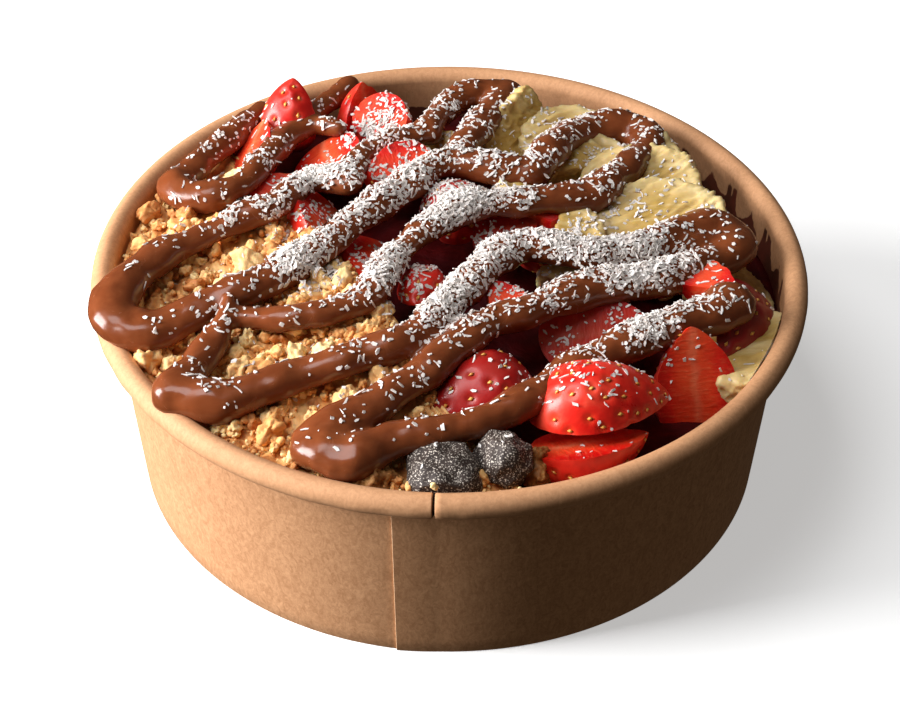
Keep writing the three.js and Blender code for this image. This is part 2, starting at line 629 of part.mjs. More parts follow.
// Larger coconut flakes pressed into the top of the sauce
function withFlakes(sauce, runs, others, limit, seed) {
  const random = seededRandom(seed);
  let whole = sauce;
  let count = 0;
  for (let i = 0; i < 6 * limit && count < limit; i += 1) {
    const run = runs[Math.floor(random() * runs.length)];
    const spot = run.route[Math.floor(random() * (run.route.length - 1))];
    const next = run.route[run.route.indexOf(spot) + 1];
    const part = random();
    const x = THREE.MathUtils.lerp(spot[0], next[0], part) + 3.4 * (random() - 0.5);
    const y = THREE.MathUtils.lerp(spot[1], next[1], part) + 3.4 * (random() - 0.5);
    const turn = new THREE.Euler(0.7 * (random() - 0.5), 0.7 * (random() - 0.5), 6.3 * random());
    if (random() > 0.12 + coconutShare(x, y)) continue;
    const flakeAt = (grow) => {
      const shape = new THREE.OctahedronGeometry(1, 0);
      shape.scale(FLAKE_LENGTH / 2 + grow, FLAKE_WIDTH / 2 + grow, FLAKE_WIDTH / 2 + grow);
      shape.applyMatrix4(new THREE.Matrix4().makeRotationFromEuler(turn));
      shape.translate(x, y, beadHeight(x, y) + BEAD_RADIUS - 0.15);
      return solidOf(shape);
    };
    const flake = flakeAt(0);
    if (!meets(flake, [sauce]) || meets(flakeAt(GAP), others)) continue;
    whole = whole.add(flake);
    count += 1;
  }
  return mainBody(whole);
}

function meshOf(name, solid, finish) {
  const mesh = new THREE.Mesh(geometryOf(solid), new THREE.MeshStandardMaterial(finish));
  mesh.name = name;
  return mesh;
}

const rim = rimClearance();
const sauceParts = [SAUCE_LEFT, SAUCE_MAIN].map((runs) => sauceSolid(runs, 0).subtract(rim)).map(mainBody);
const sauceRoom = [SAUCE_LEFT, SAUCE_MAIN].map((runs) => sauceSolid(runs, GAP)
  .add(sauceSolid(runs, GAP / 2)).add(sauceSolid(runs, 0)));

// Each piece gives way to the sauce and to the pieces before it
const taken = [...sauceRoom];
const pieces = [];
function settle(rows, makeSolid, finish) {
  rows.forEach((row) => {
    let solid = makeSolid(row, 0).subtract(rim);
    taken.forEach((other) => {
      if (meets(solid, [other])) solid = solid.subtract(other);
    });
    solid = mainBody(solid);
    taken.push(makeSolid(row, GAP));
    pieces.push({ name: row[0], solid, finish });
  });
}
settle(CHUNKS, chunkSolid, darkChocolate);
settle(NUTS, nutSolid, roastedNut);
settle(BERRIES, berrySolid, strawberry);
settle(BANANAS, bananaSolid, banana);

function givingWay(solid) {
  let left = solid;
  taken.forEach((other) => {
    if (meets(left, [other])) left = left.subtract(other);
  });
  return mainBody(left);
}
const acai = givingWay(acaiSolid());
const core = givingWay(granolaCore());
const solids = pieces.map((piece) => piece.solid);
const granola = granolaSolid(core, [...sauceRoom, ...solids, rim]);
const around = [...solids, granola, rim];
const drizzles = [
  withFlakes(sauceParts[0], SAUCE_LEFT, [...around, sauceParts[1]], Math.round(0.12 * FLAKE_LIMIT), 3),
  withFlakes(sauceParts[1], SAUCE_MAIN, [...around, sauceParts[0]], FLAKE_LIMIT, 5),
];

const group = new THREE.Group();
group.add(meshOf('paper_bowl', bowlSolid(), kraft));
group.add(meshOf('acai_base', acai, acaiPulp));
group.add(meshOf('granola_heap', granola, granolaOats));
pieces.forEach(({ name, solid, finish }) => group.add(meshOf(name, solid, finish)));
drizzles.forEach((solid, i) => group.add(meshOf(`chocolate_drizzle_${i + 1}`, solid, hazelnutSauce)));

export default group;
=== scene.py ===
import math

import bmesh
import bpy
import numpy as np
from mathutils import Matrix, Vector, noise
from mathutils.bvhtree import BVHTree


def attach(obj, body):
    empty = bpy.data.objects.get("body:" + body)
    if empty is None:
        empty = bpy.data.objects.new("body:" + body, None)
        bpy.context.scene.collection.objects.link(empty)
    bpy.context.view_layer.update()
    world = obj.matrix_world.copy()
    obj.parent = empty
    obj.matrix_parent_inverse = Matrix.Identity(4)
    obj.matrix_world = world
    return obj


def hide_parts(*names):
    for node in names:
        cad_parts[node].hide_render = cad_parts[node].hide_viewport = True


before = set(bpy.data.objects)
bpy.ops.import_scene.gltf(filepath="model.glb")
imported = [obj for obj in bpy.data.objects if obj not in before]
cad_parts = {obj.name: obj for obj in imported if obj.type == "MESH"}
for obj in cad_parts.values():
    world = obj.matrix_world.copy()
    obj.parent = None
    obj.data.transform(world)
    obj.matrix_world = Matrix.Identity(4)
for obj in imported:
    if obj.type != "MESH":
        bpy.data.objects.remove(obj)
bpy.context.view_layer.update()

# Lengths in the tables and functions below are millimetres; meshes are stored in metres.
MM = 0.001

# Paper bowl
BOWL_HEIGHT = 48.2
FOOT_RADIUS = 67.2
FOOT_WIDTH = 1.2
FLOOR_UNDERSIDE = 5.0
PAPER = 0.55
NECK_RADIUS = 70.65
NECK_HEIGHT = 43.3
ROLL_RADIUS = 72.57
ROLL_HALF_WIDTH = 2.43
ROLL_HALF_HEIGHT = 2.61
SEAM_ANGLE = -98.8
SEAM_LAP = 9
SEAM_STEP = 0.45
NOTCH_ANGLE = -92.2
ROLL_HEIGHT = BOWL_HEIGHT - ROLL_HALF_HEIGHT
FLOOR_TOP = FLOOR_UNDERSIDE + PAPER
FLOOR_RING = 30
INNER_ROWS = 30
RAW_EDGE = 0.12
# Reach in degrees of the painted shade inside the rim's slit at the notch
SLIT_SHADE_REACH = 0.19
SHARP_ANGLE = math.radians(40)

# Contents
GAP = 0.3
ACAI_EDGE = 36.5
ACAI_RISE = 5
BEAD_EDGE = 48.2
BEAD_RISE = 7
HEAP_RADIUS = 66
BEAD_RADIUS = 3.4

# Granola
GRANOLA_CENTRE = (-34, -22)
GRANOLA_RIM = 69.2
GRANOLA_EDGE_FROM = (-50, 44)
GRANOLA_EDGE_TO = (14, -66)
BED_SPOKES, BED_STEPS = 190, 52
LUMP_KINDS = 9
# Lumps: name, level of the ball, tries, most, sizes, spacing, lift, distance from the edge
LUMPS = [
    ("granola_clusters", 4, 5200, 152, (1.7, 3.9), 0.52, 0.5, 1.6),
    ("granola_crumbs", 3, 3600, 600, (0.6, 1.7), 0.34, 0.9, 0.8),
    ("granola_grit", 1, 7000, 1900, (0.4, 0.95), 0, 1.4, 0.6),
]

# Strawberry pieces by number: kind, length, width, centre, way of the tip, way of the first cut face
BERRIES = [
    ("half", 28.5, 21, (29.5, -46.5, 47), (1, 0.25, 0.02), (0.05, -0.3, -1)),
    ("half", 24, 17.5, (27, -54.5, 45.5), (1, 0.25, 0), (0.15, 0.42, 0.9)),
    ("half", 24, 18, (49, -36, 44.5), (-0.1, 0.35, 0.9), (0.15, -0.85, 0.4)),
    ("half", 26, 20, (57, -16.5, 42), (-0.2, -0.85, 0.2), (-0.75, 0.45, -0.3)),
    ("chunk", 11, 11, (53, -13, 52.5), (0.3, 0.9, 0.1), (-0.2, -0.3, 0.9)),
    ("half", 24, 17, (30, -24, 47.5), (1, 0.1, 0.05), (-0.1, -0.6, 0.75)),
    ("half", 23, 18, (6, -41.5, 45), (-1, -0.45, 0.05), (0, 0.1, -1)),
    ("half", 14, 11, (-5.5, -12.5, 48.5), (-0.2, -0.9, 0.3), (0.3, -0.1, -0.9)),
    ("chunk", 11, 10, (11, -20, 52.5), (1, 0.1, 0), (0, -0.2, 0.9)),
    ("half", 13, 11, (18.5, -0.5, 51), (-0.5, -0.6, 0.3), (0.2, -0.2, 0.9)),
    ("quarter", 17, 18, (-14.5, -2, 48.5), (-0.2, -0.9, 0.2), (0.2, -0.5, 0.85)),
    ("quarter", 19, 18, (-26.5, 12.5, 48), (-0.2, -0.8, 0.3), (0.3, -0.6, 0.7)),
    ("half", 19, 16, (-27, 33.5, 49.5), (0.15, -0.9, 0.15), (-0.3, -0.5, 0.8)),
    ("slice", 17, 13, (-11, 26.5, 51.5), (-0.9, -0.35, 0), (0.05, -0.4, 0.9)),
    ("half", 16, 14, (-19, 53.5, 47.5), (-0.1, 0.35, 0.9), (0.75, -0.6, 0.3)),
    ("slice", 16, 14, (-14.5, 47.5, 49.5), (0.7, -0.7, 0), (-0.1, -0.5, 0.85)),
    ("half", 17, 14, (-35.5, 50, 50.2), (0.05, 0.35, 0.9), (0.5, 0.7, -0.3)),
    ("half", 18, 14, (-44.5, 38, 48.8), (0.3, 0.9, 0.3), (-0.75, -0.3, 0.6)),
    ("half", 15, 13, (-38, 21.5, 49), (0.5, 0.8, 0.1), (0, -0.3, 0.9)),
    ("half", 17, 15, (2, 16, 48.5), (0.9, 0.3, 0.1), (0, 0.5, -0.9)),
    ("half", 15, 13, (12, 6, 50), (0.8, 0.5, 0.1), (0, -0.3, 0.9)),
    ("chunk", 11, 10, (19.5, 12.5, 52), (0.5, 0.8, 0.1), (0, -0.3, 0.9)),
]
# The darker pieces by number, from 0 for bright red to 1 for crimson: riper fruit, and painted shade on the
# pieces that lie in shadow, such as 4 and 7
RIPENESS_AND_SHADE = {4: 1, 6: 0.75, 7: 0.8, 8: 0.35, 10: 0.7, 17: 0.45, 19: 0.4, 20: 0.5, 21: 0.8, 22: 0.4}
# The pieces that show much skin get a finer surface
FINE_SKIN = {1, 2, 7, 8, 17, 20}

# Banana pieces by number: kind, radius, thickness, centre, way of the cut faces, way of the halving cut
BANANAS = [
    ("half", 9, 20, (16.5, 45.5, 46.3), (0.6, 0.78, 0.15), (0.55, -0.55, 0.65)),
    ("slice", 12.5, 7, (28, 43.5, 44.5), (0.1, -0.15, 1), (1, 0, 0)),
    ("half", 12, 6, (29, 31.5, 47.5), (0.15, -0.1, 1), (0.3, -0.9, 0)),
    ("half", 10, 7, (42, 37, 44.5), (-0.3, -0.3, 0.9), (-0.9, -0.2, 0)),
    ("slice", 13, 7, (41.5, 24.5, 46.5), (-0.12, -0.28, 1), (1, 0, 0)),
    ("slice", 14, 7, (45, 9, 47.5), (-0.08, -0.25, 1), (1, 0, 0)),
    ("half", 11, 8, (22.5, 4, 47.5), (0, -0.2, 1), (-0.9, 0.3, 0)),
    ("half", 9, 6, (35, 3, 46.5), (0.05, -0.3, 1), (-0.2, 0.9, 0)),
    ("slice", 12, 6, (57.5, -1, 41), (0.55, 0.1, 0.8), (1, 0, 0)),
    ("slice", 13, 6, (60, -24, 42), (-0.12, 0.08, 0.98), (1, 0, 0)),
    ("half", 8, 7, (17.5, 20, 49), (0.2, -0.3, 0.9), (0.2, 1, 0)),
    ("half", 9, 7, (-5, 44, 47), (-0.2, -0.4, 0.9), (0.2, 1, 0)),
]

# Dark chocolate chunks: size, centre, turn in degrees
CHUNKS = [
    ((12.5, 12, 7), (-1, -64.5, 46.5), (14, 4, 12)),
    ((8.5, 9, 9), (10.5, -61, 47), (-20, 14, 30)),
    ((6.5, 4.5, 5), (-46, 19.5, 48), (10, 10, 20)),
    ((4, 4, 8), (-24, -11, 48.5), (8, 12, 35)),
]

# Browned nut pieces: radii, centre
NUTS = [
    ((4.2, 3.4, 3.4), (-14.5, -64.8, 45.5)),
    ((2.6, 4, 4.6), (17, -60, 43.5)),
]

# Sauce runs: route seen from above, radii at start, middle and end, lift at both ends
SAUCE_LEFT = [
    ([(-43, 54.5), (-49, 44), (-54.5, 34), (-60, 24.5)], (2.8, 3.3, 4.4), (0, 0)),
    ([(-60, 24.5), (-54.5, 19), (-46, 21), (-41, 30.5), (-37.5, 39), (-32.5, 46.5), (-29, 55), (-23.5, 63.5)],
     (4.4, 3.3, 3), (0, 0)),
    ([(-35, 43.5), (-30, 45.5), (-25, 43)], (2.6, 2.4, 2), (0, 0)),
]
SAUCE_MAIN = [
    ([(-5, 41), (-9, 37.5), (-14.5, 35), (-18.5, 31), (-20.8, 25), (-21.5, 18.5)], (3.4, 3.2, 3), (0, 0)),
    ([(-21.5, 18.5), (-28, 21.5), (-32, 20), (-34.5, 15), (-37.5, 10.5), (-43, 8.5),
      (-52, 2), (-60.5, -3.5), (-68.5, -16.5)], (3, 3.3, 4.8), (0, 2.4)),
    ([(-68.5, -17), (-67, -23), (-60, -26), (-47.5, -19.5), (-34.5, -11.5), (-23, -0.5), (-12, 13.5),
      (-1, 25.5), (9, 24), (18, 23.5)], (4.8, 3.9, 3.9), (2.4, 0)),
    ([(18, 23.5), (23, 34.5), (31.5, 44.5), (40.5, 46), (44, 39), (39, 28.5), (30, 15)],
     (3.9, 4.4, 3.9), (0, 0)),
    ([(30, 15), (17, 11.5), (5, 8.5), (-5, 1), (-12, -10), (-17, -21), (-29.5, -26.5), (-42.5, -25)],
     (3.9, 3.6, 2.6), (0, 1)),
    ([(-44, -22.5), (-46, -28.5), (-50, -37), (-53.5, -44.5)], (1.2, 3.4, 5), (4, 1.2)),
    ([(-53.5, -44.5), (-44.5, -47), (-31.5, -42), (-17.5, -37.5), (-6, -31.5), (4, -17), (14, -5),
      (28.5, -6.5)], (5, 3.9, 3.8), (1.2, 0)),
    ([(28.5, -6.5), (40.5, -2.5), (49.5, 6), (56, 7.5), (60, 3.5), (57.5, -1.5), (51, -7), (43.5, -12.5)],
     (3.8, 4.6, 4.2), (0, 0)),
    ([(45, -1.5), (50, 0.5), (56, 3)], (3.2, 3.6, 3.6), (-0.5, -0.5)),
    ([(43.5, -12.5), (30.5, -16), (17.5, -23.5), (6, -30), (-4, -41), (-13.5, -49), (-23.5, -57)],
     (4.2, 3.9, 4.6), (0, 0)),
    ([(-23.5, -61.5), (-18.5, -63), (-9.5, -59), (3, -56), (14.5, -49.5), (23.5, -40),
      (37, -32), (48, -25.5), (56.8, -19.3)], (4.6, 3.6, 5.3), (0.8, 2)),
    ([(-23.5, -57), (-26, -59.5), (-23.5, -61.5)], (4.6, 4.6, 4.6), (0, 0.8)),
    ([(-5, 40), (-2, 50), (4.5, 58.5), (13, 60)], (3.2, 3.6, 3.9), (0, 0)),
    ([(13, 59.5), (9, 48.5), (3, 35.5), (0, 27.5)], (3.9, 3.9, 3.6), (0, -2)),
]


def bead_height(x, y):
    return BEAD_EDGE + BEAD_RISE * np.maximum(0, 1 - (np.hypot(x, y) / HEAP_RADIUS) ** 2)


def acai_height(x, y):
    ripple = 0.5 * np.sin(0.21 * x + 1) * np.cos(0.17 * y)
    return ACAI_EDGE + ACAI_RISE * np.maximum(0, 1 - (np.hypot(x, y) / HEAP_RADIUS) ** 2) + ripple


def granola_top(x, y):
    return bead_height(x, y) - BEAD_RADIUS - 1 + 0.4 * np.sin(0.35 * x) * np.cos(0.3 * y)


def inner_radius(z):
    slope = (NECK_RADIUS - FOOT_RADIUS) / NECK_HEIGHT
    return FOOT_RADIUS + slope * min(z, NECK_HEIGHT) - PAPER


def soft_noise(*place):
    return noise.noise(Vector(place))


def around(count):
    return np.arange(count) * 2 * np.pi / count


def unit_rows(rows):
    return rows / np.linalg.norm(rows, axis=1, keepdims=True)


def new_object(name, data):
    obj = bpy.data.objects.new(name, data)
    bpy.context.scene.collection.objects.link(obj)
    return obj


def linear(red, green, blue):
    """Linear colour from 8-bit sRGB values."""
    def one(value):
        share = value / 255
        return share / 12.92 if share <= 0.04045 else ((share + 0.055) / 1.055) ** 2.4
    return one(red), one(green), one(blue), 1.0


# Materials. Colours are 8-bit sRGB values.

class Shader:
    """A Principled material with short calls for the nodes that feed it."""

    def __init__(self, name, roughness, specular, soft=None, **values):
        self.material = bpy.data.materials.new(name)
        self.material.use_nodes = True
        self.nodes = self.material.node_tree.nodes
        self.links = self.material.node_tree.links
        self.bsdf = self.nodes["Principled BSDF"]
        values.update(Roughness=roughness, Specular_IOR_Level=specular)
        if soft:
            values.update(Subsurface_Weight=soft[0], Subsurface_Radius=soft[1:], Subsurface_Scale=0.5)
        for key, value in values.items():
            self.bsdf.inputs[key.replace("_", " ")].default_value = value
        self.spot = self.add("TexCoord", "Object")

    def add(self, kind, output, inputs=(), **settings):
        """Makes a node from inputs (values or sockets) and settings, and returns one of its outputs."""
        node = self.nodes.new("ShaderNode" + kind)
        for key, value in settings.items():
            setattr(node, key, value)
        for key, value in dict(inputs).items():
            if isinstance(value, bpy.types.NodeSocket):
                self.links.new(value, node.inputs[key])
            else:
                node.inputs[key].default_value = value
        return node.outputs[output]

    def stretched(self, scale, turn=(0, 0, 0), source=None):
        inputs = {"Scale": scale, "Rotation": turn, "Vector": source or self.spot}
        return self.add("Mapping", "Vector", inputs)

    def noise(self, scale, detail=3.0, rough=0.55, warp=0.0, source=None):
        return self.add("TexNoise", "Fac", {"Scale": scale, "Detail": detail, "Roughness": rough,
                                            "Distortion": warp, "Vector": source or self.spot})

    def cells(self, scale):
        return self.add("TexVoronoi", "Distance", {"Scale": scale, "Vector": self.spot})

    def attribute(self, name, output="Fac"):
        return self.add("Attribute", output, attribute_name=name)

    def part(self, vector, axis):
        return self.add("SeparateXYZ", axis, {0: vector})

    def maths(self, operation, *values):
        return self.add("Math", 0, dict(enumerate(values)), operation=operation)

    def ramp(self, factor, stops):
        result = self.add("ValToRGB", 0, {0: factor})
        elements = result.node.color_ramp.elements
        while len(elements) < len(stops):
            elements.new(0.5)
        for element, (place, colour) in zip(elements, stops):
            element.position = place
            element.color = colour
        return result

    def grey(self, factor, low, high, at=(0.0, 1.0)):
        return self.ramp(factor, [(at[0], (low, low, low, 1)), (at[1], (high, high, high, 1))])

    def tones(self, factor, *stops):
        """Colours along the factor. A stop is (place, red, green, blue)."""
        return self.ramp(factor, [(place, linear(*colour)) for place, *colour in stops])

    def mix(self, factor, *colours):
        first, second = [linear(*c) if isinstance(c, tuple) else c for c in colours]
        return self.add("Mix", 2, {0: factor, 6: first, 7: second}, data_type="RGBA")

    def colour(self, value):
        self.links.new(value, self.bsdf.inputs["Base Color"])

    def roughness(self, value):
        self.links.new(value, self.bsdf.inputs["Roughness"])

    def bump(self, height, depth, strength):
        inputs = {"Strength": strength, "Distance": depth * MM, "Height": height}
        before = self.bsdf.inputs["Normal"].links
        if before:
            inputs["Normal"] = before[0].from_socket
        self.links.new(self.add("Bump", 0, inputs), self.bsdf.inputs["Normal"])


def kraft_material(name, light, dark, stained=False):
    mat = Shader(name, 0.6, 0.35)
    fibre = mat.noise(1500, 5, 0.75, 0.8)
    fleck = mat.noise(700, 4, 0.65, 1.5, mat.stretched((1, 1, 0.5)))
    tone = mat.mix(0.5, mat.tones(fibre, (0.3, *dark), (0.7, *light)),
                   mat.tones(fleck, (0.36, *dark), (0.64, *light)))
    tone = mat.mix(mat.grey(mat.attribute("calm"), 0.0, 0.4), tone, mat.mix(0.42, light, dark))
    tone = mat.mix(mat.grey(mat.noise(60, 4, 0.6), 0.0, 0.14, (0.35, 0.7)), tone, dark)
    if stained:
        wet = mat.maths("ADD", mat.attribute("stain"), mat.maths("MULTIPLY", mat.noise(520, 4, 0.6), 0.6))
        mask = mat.grey(wet, 0.0, 0.9, (0.7, 0.84))
        tone = mat.mix(mask, tone, mat.tones(mat.noise(160, 3), (0.35, 46, 8, 10), (0.7, 96, 22, 20)))
        mat.roughness(mat.grey(mask, 0.72, 0.38))
    mat.colour(tone)
    mat.bump(fibre, 0.04, 0.5)
    return mat.material


def sauce_material():
    mat = Shader("chocolate_sauce", 0.2, 0.4, (0.08, 0.004, 0.002, 0.001))
    cloud = mat.noise(90, 4, 0.55, 0.8)
    flow = mat.noise(260, 3, 0.5, 1.2)
    tone = mat.tones(cloud, (0.3, 102, 49, 25), (0.7, 127, 65, 34))
    mat.colour(mat.mix(mat.grey(flow, 0.0, 0.3, (0.4, 0.7)), tone, (140, 77, 42)))
    mat.roughness(mat.grey(flow, 0.15, 0.3, (0.3, 0.75)))
    mat.bump(cloud, 0.25, 0.3)
    return mat.material


def skin_material():
    mat = Shader("strawberry_skin", 0.36, 0.5, (0.1, 0.004, 0.001, 0.0006),
                 Coat_Weight=0.15, Coat_Roughness=0.2)
    cloud = mat.noise(120, 4, 0.6, 0.4)
    tone = mat.tones(cloud, (0.28, 208, 12, 12), (0.5, 240, 42, 28), (0.75, 252, 84, 56))
    tone = mat.mix(mat.grey(mat.attribute("pit"), 0.0, 0.5), tone, (232, 92, 50))
    # Darker crimson by piece: ripeness, and painted shade on the pieces in shadow
    mat.colour(mat.mix(mat.grey(mat.attribute("ripe"), 0.0, 0.85), tone, (112, 4, 14)))
    mat.roughness(mat.grey(cloud, 0.26, 0.5, (0.3, 0.7)))
    mat.bump(mat.noise(900, 3, 0.6), 0.06, 0.6)
    mat.bump(mat.noise(260, 3, 0.5), 0.3, 0.5)
    return mat.material


def flesh_material():
    mat = Shader("strawberry_flesh", 0.38, 0.4, (0.25, 0.006, 0.0015, 0.001))
    place = mat.attribute("place", "Vector")
    across, deep = [mat.maths("ABSOLUTE", mat.part(place, axis)) for axis in (2, 0)]
    wobble = mat.maths("MULTIPLY", mat.noise(5, 3, 0.5, 0.3, place), 0.3)
    reach = mat.maths("ADD", mat.maths("MAXIMUM", across, deep), wobble)
    tone = mat.tones(reach, (0.08, 250, 136, 96), (0.3, 246, 84, 44), (0.5, 244, 72, 36),
                     (0.7, 230, 36, 20), (0.92, 200, 14, 10))
    streak = mat.noise(1, 3, 0.55, 0.4, mat.stretched((5, 20, 4), (0.35, 0, 0), place))
    tone = mat.mix(mat.grey(streak, 0.0, 0.35, (0.54, 0.76)), tone, (255, 150, 104))
    tone = mat.mix(mat.grey(mat.noise(150, 3, 0.6), 0.0, 0.6, (0.4, 0.75)), tone, (214, 20, 12))
    # Darker crimson by piece: ripeness, and painted shade on the pieces in shadow
    mat.colour(mat.mix(mat.grey(mat.attribute("ripe"), 0.0, 0.7), tone, (140, 8, 20)))
    mat.bump(streak, 0.3, 0.6)
    mat.bump(mat.noise(800, 3, 0.6), 0.08, 0.5)
    return mat.material


def banana_material():
    mat = Shader("banana_flesh", 0.42, 0.45, (0.25, 0.005, 0.003, 0.0012),
                 Coat_Weight=0.12, Coat_Roughness=0.25)
    place = mat.attribute("place", "Vector")
    x, z = mat.part(place, 0), mat.part(place, 2)
    radius = mat.maths("SQRT", mat.maths("ADD", mat.maths("MULTIPLY", x, x), mat.maths("MULTIPLY", z, z)))
    wobble = mat.maths("MULTIPLY", mat.noise(4, 4, 0.6, 0.5, place), 0.35)
    tone = mat.tones(mat.maths("ADD", radius, wobble), (0.12, 160, 120, 56), (0.3, 194, 158, 86),
                     (0.5, 184, 148, 74), (0.78, 212, 178, 110), (1.0, 222, 194, 134))
    rays = mat.maths("SINE", mat.maths("MULTIPLY", mat.maths("ARCTAN2", z, x), 3.0))
    rays = mat.maths("MULTIPLY", rays, mat.maths("SUBTRACT", 1.0, radius))
    tone = mat.mix(mat.grey(rays, 0.0, 0.4, (0.2, 0.8)), tone, (186, 156, 80))
    smear = mat.noise(1, 4, 0.6, 0.6, mat.stretched((60, 300, 300), (0.2, 0.5, 0.6)))
    tone = mat.mix(mat.grey(smear, 0.0, 0.55, (0.5, 0.72)), tone, (240, 222, 174))
    # Painted shade: darker olive in the grooves between the fibrous ridges
    mat.colour(mat.mix(mat.grey(mat.attribute("groove"), 0.0, 0.42), tone, (170, 130, 62)))
    mat.bump(smear, 0.6, 0.7)
    mat.bump(mat.noise(700, 3, 0.6), 0.1, 0.4)
    return mat.material


def chunk_material():
    mat = Shader("dark_chocolate", 0.6, 0.35)
    dust = mat.noise(1900, 4, 0.8, 0.3)
    body = mat.tones(mat.noise(200, 4, 0.65), (0.3, 38, 28, 25), (0.7, 68, 54, 48))
    grains = mat.grey(mat.cells(2700), 1.0, 0.0, (0.25, 0.5))
    mask = mat.maths("MULTIPLY", grains, mat.grey(dust, 0.0, 1.0, (0.46, 0.56)))
    mat.colour(mat.mix(mask, body, (238, 226, 212)))
    mat.bump(dust, 0.15, 0.7)
    return mat.material


def granola_material():
    mat = Shader("granola", 0.62, 0.35, (0.12, 0.003, 0.0015, 0.0006))
    shade = mat.maths("MULTIPLY", mat.attribute("shade"), 0.6)
    grain = mat.noise(520, 4, 0.65, 0.3)
    mixed = mat.maths("ADD", shade, mat.maths("MULTIPLY", grain, 0.5))
    mat.colour(mat.tones(mixed, (0.22, 184, 112, 56), (0.5, 240, 176, 106), (0.8, 252, 216, 154)))
    mat.bump(grain, 0.35, 0.8)
    mat.bump(mat.noise(1500, 3, 0.7), 0.1, 0.7)
    return mat.material


def plain_material(name, roughness, specular, grain, stops, bumps=(), soft=None):
    """Colours along one noise. A bump is (noise or None for that of the colours, depth, strength)."""
    mat = Shader(name, roughness, specular, soft)
    cloud = mat.noise(*grain)
    mat.colour(mat.tones(cloud, *stops))
    for other, depth, strength in bumps:
        mat.bump(mat.noise(*other) if other else cloud, depth, strength)
    return mat.material


KRAFT = kraft_material("kraft_wall", (224, 170, 126), (172, 120, 80), stained=True)
KRAFT_EDGE = kraft_material("kraft_raw_edge", (236, 206, 172), (206, 164, 124))
# Painted shade: dark brown kraft for the shade inside the rim's slit
SLIT_SHADE = kraft_material("kraft_slit", (70, 42, 26), (40, 24, 16))
SAUCE = sauce_material()
SKIN = skin_material()
FLESH = flesh_material()
SEED = plain_material("strawberry_seed", 0.35, 0.5, (300, 2), [(0.35, 214, 140, 60), (0.65, 240, 190, 96)])
BANANA = banana_material()
CHOCOLATE = chunk_material()
NUT = plain_material("roasted_nut", 0.6, 0.35, (420, 4, 0.65, 0.5),
                     [(0.3, 96, 58, 26), (0.5, 152, 96, 46), (0.72, 206, 156, 92)],
                     [((800, 4, 0.7), 0.3, 0.8)])
GRANOLA = granola_material()
ACAI = plain_material("acai_pulp", 0.55, 0.15, (110, 4, 0.6, 0.5),
                      [(0.3, 44, 2, 4), (0.6, 78, 6, 8), (0.8, 108, 14, 16)],
                      [(None, 1.2, 0.7), ((700, 3, 0.6), 0.15, 0.6)])
COCONUT = plain_material("coconut", 0.55, 0.4, (500, 3), [(0.3, 216, 203, 195), (0.65, 244, 239, 234)],
                         soft=(0.25, 0.002, 0.0018, 0.0015))


# Meshes

def finish_piece(obj, slot, *nodes):
    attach(obj, "root")
    if nodes:
        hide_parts(*nodes)
    return obj


def mesh_object(name, points, faces, materials, indices=None, smooth=True):
    """A mesh object from points in millimetres."""
    mesh = bpy.data.meshes.new(name)
    mesh.from_pydata((np.asarray(points, float) * MM).tolist(), [], [tuple(f) for f in faces])
    for material in materials:
        mesh.materials.append(material)
    if indices is not None:
        mesh.polygons.foreach_set("material_index", np.asarray(indices, np.int32))
    mesh.polygons.foreach_set("use_smooth", np.full(len(mesh.polygons), smooth))
    mesh.update()
    return new_object(name, mesh)


def add_values(obj, name, values, kind="FLOAT"):
    values = np.asarray(values, np.float32)
    attribute = obj.data.attributes.new(name, kind, "POINT")
    attribute.data.foreach_set("vector" if kind == "FLOAT_VECTOR" else "value", values.ravel())


def grid_faces(rings, sides):
    """Faces between closed rings, and fans to the two poles, which are the points after the rings."""
    j = np.arange(sides)
    k = (j + 1) % sides
    last = (rings - 1) * sides
    pole = np.full(sides, rings * sides)
    faces = []
    for low in range(0, last, sides):
        faces.extend(np.stack([low + j, low + k, low + sides + k, low + sides + j], 1).tolist())
    faces.extend(np.stack([pole, k, j], 1).tolist())
    faces.extend(np.stack([pole + 1, last + j, last + k], 1).tolist())
    return faces


def basis(main, side):
    """Columns X, Y, Z: Y along main, X as near to side as it can be."""
    y = np.array(main, float)
    y /= np.linalg.norm(y)
    x = np.array(side, float)
    x -= y * x.dot(y)
    x /= np.linalg.norm(x)
    return np.stack([x, y, np.cross(x, y)], 1)


def baked(obj, *modifiers):
    """Applies modifiers given as (type, settings) and keeps the result as the mesh."""
    for kind, settings in modifiers:
        modifier = obj.modifiers.new(kind, kind)
        for key, value in settings.items():
            setattr(modifier, key, value)
    graph = bpy.context.evaluated_depsgraph_get()
    mesh = bpy.data.meshes.new_from_object(obj.evaluated_get(graph))
    old = obj.data
    obj.modifiers.clear()
    obj.data = mesh
    bpy.data.meshes.remove(old)
    mesh.name = obj.name
    return obj


def pushed(obj, depth, scale, seed):
    """Moves every point along its normal by smooth noise, in millimetres."""
    mesh = obj.data
    offset = Vector((seed * 3.1, seed * 1.7, seed * 2.3))
    for vertex, normal in zip(mesh.vertices, [n.vector.copy() for n in mesh.vertex_normals]):
        value = noise.noise(vertex.co / MM * scale + offset)
        vertex.co += normal * (value * depth * MM)
    mesh.update()


def kept_inside(obj):
    """Presses every point that would pass through the bowl's wall onto its inside."""
    for vertex in obj.data.vertices:
        limit = (inner_radius(vertex.co.z / MM) - 0.15) * MM
        reach = math.hypot(vertex.co.x, vertex.co.y)
        if reach > limit:
            vertex.co.x *= limit / reach
            vertex.co.y *= limit / reach


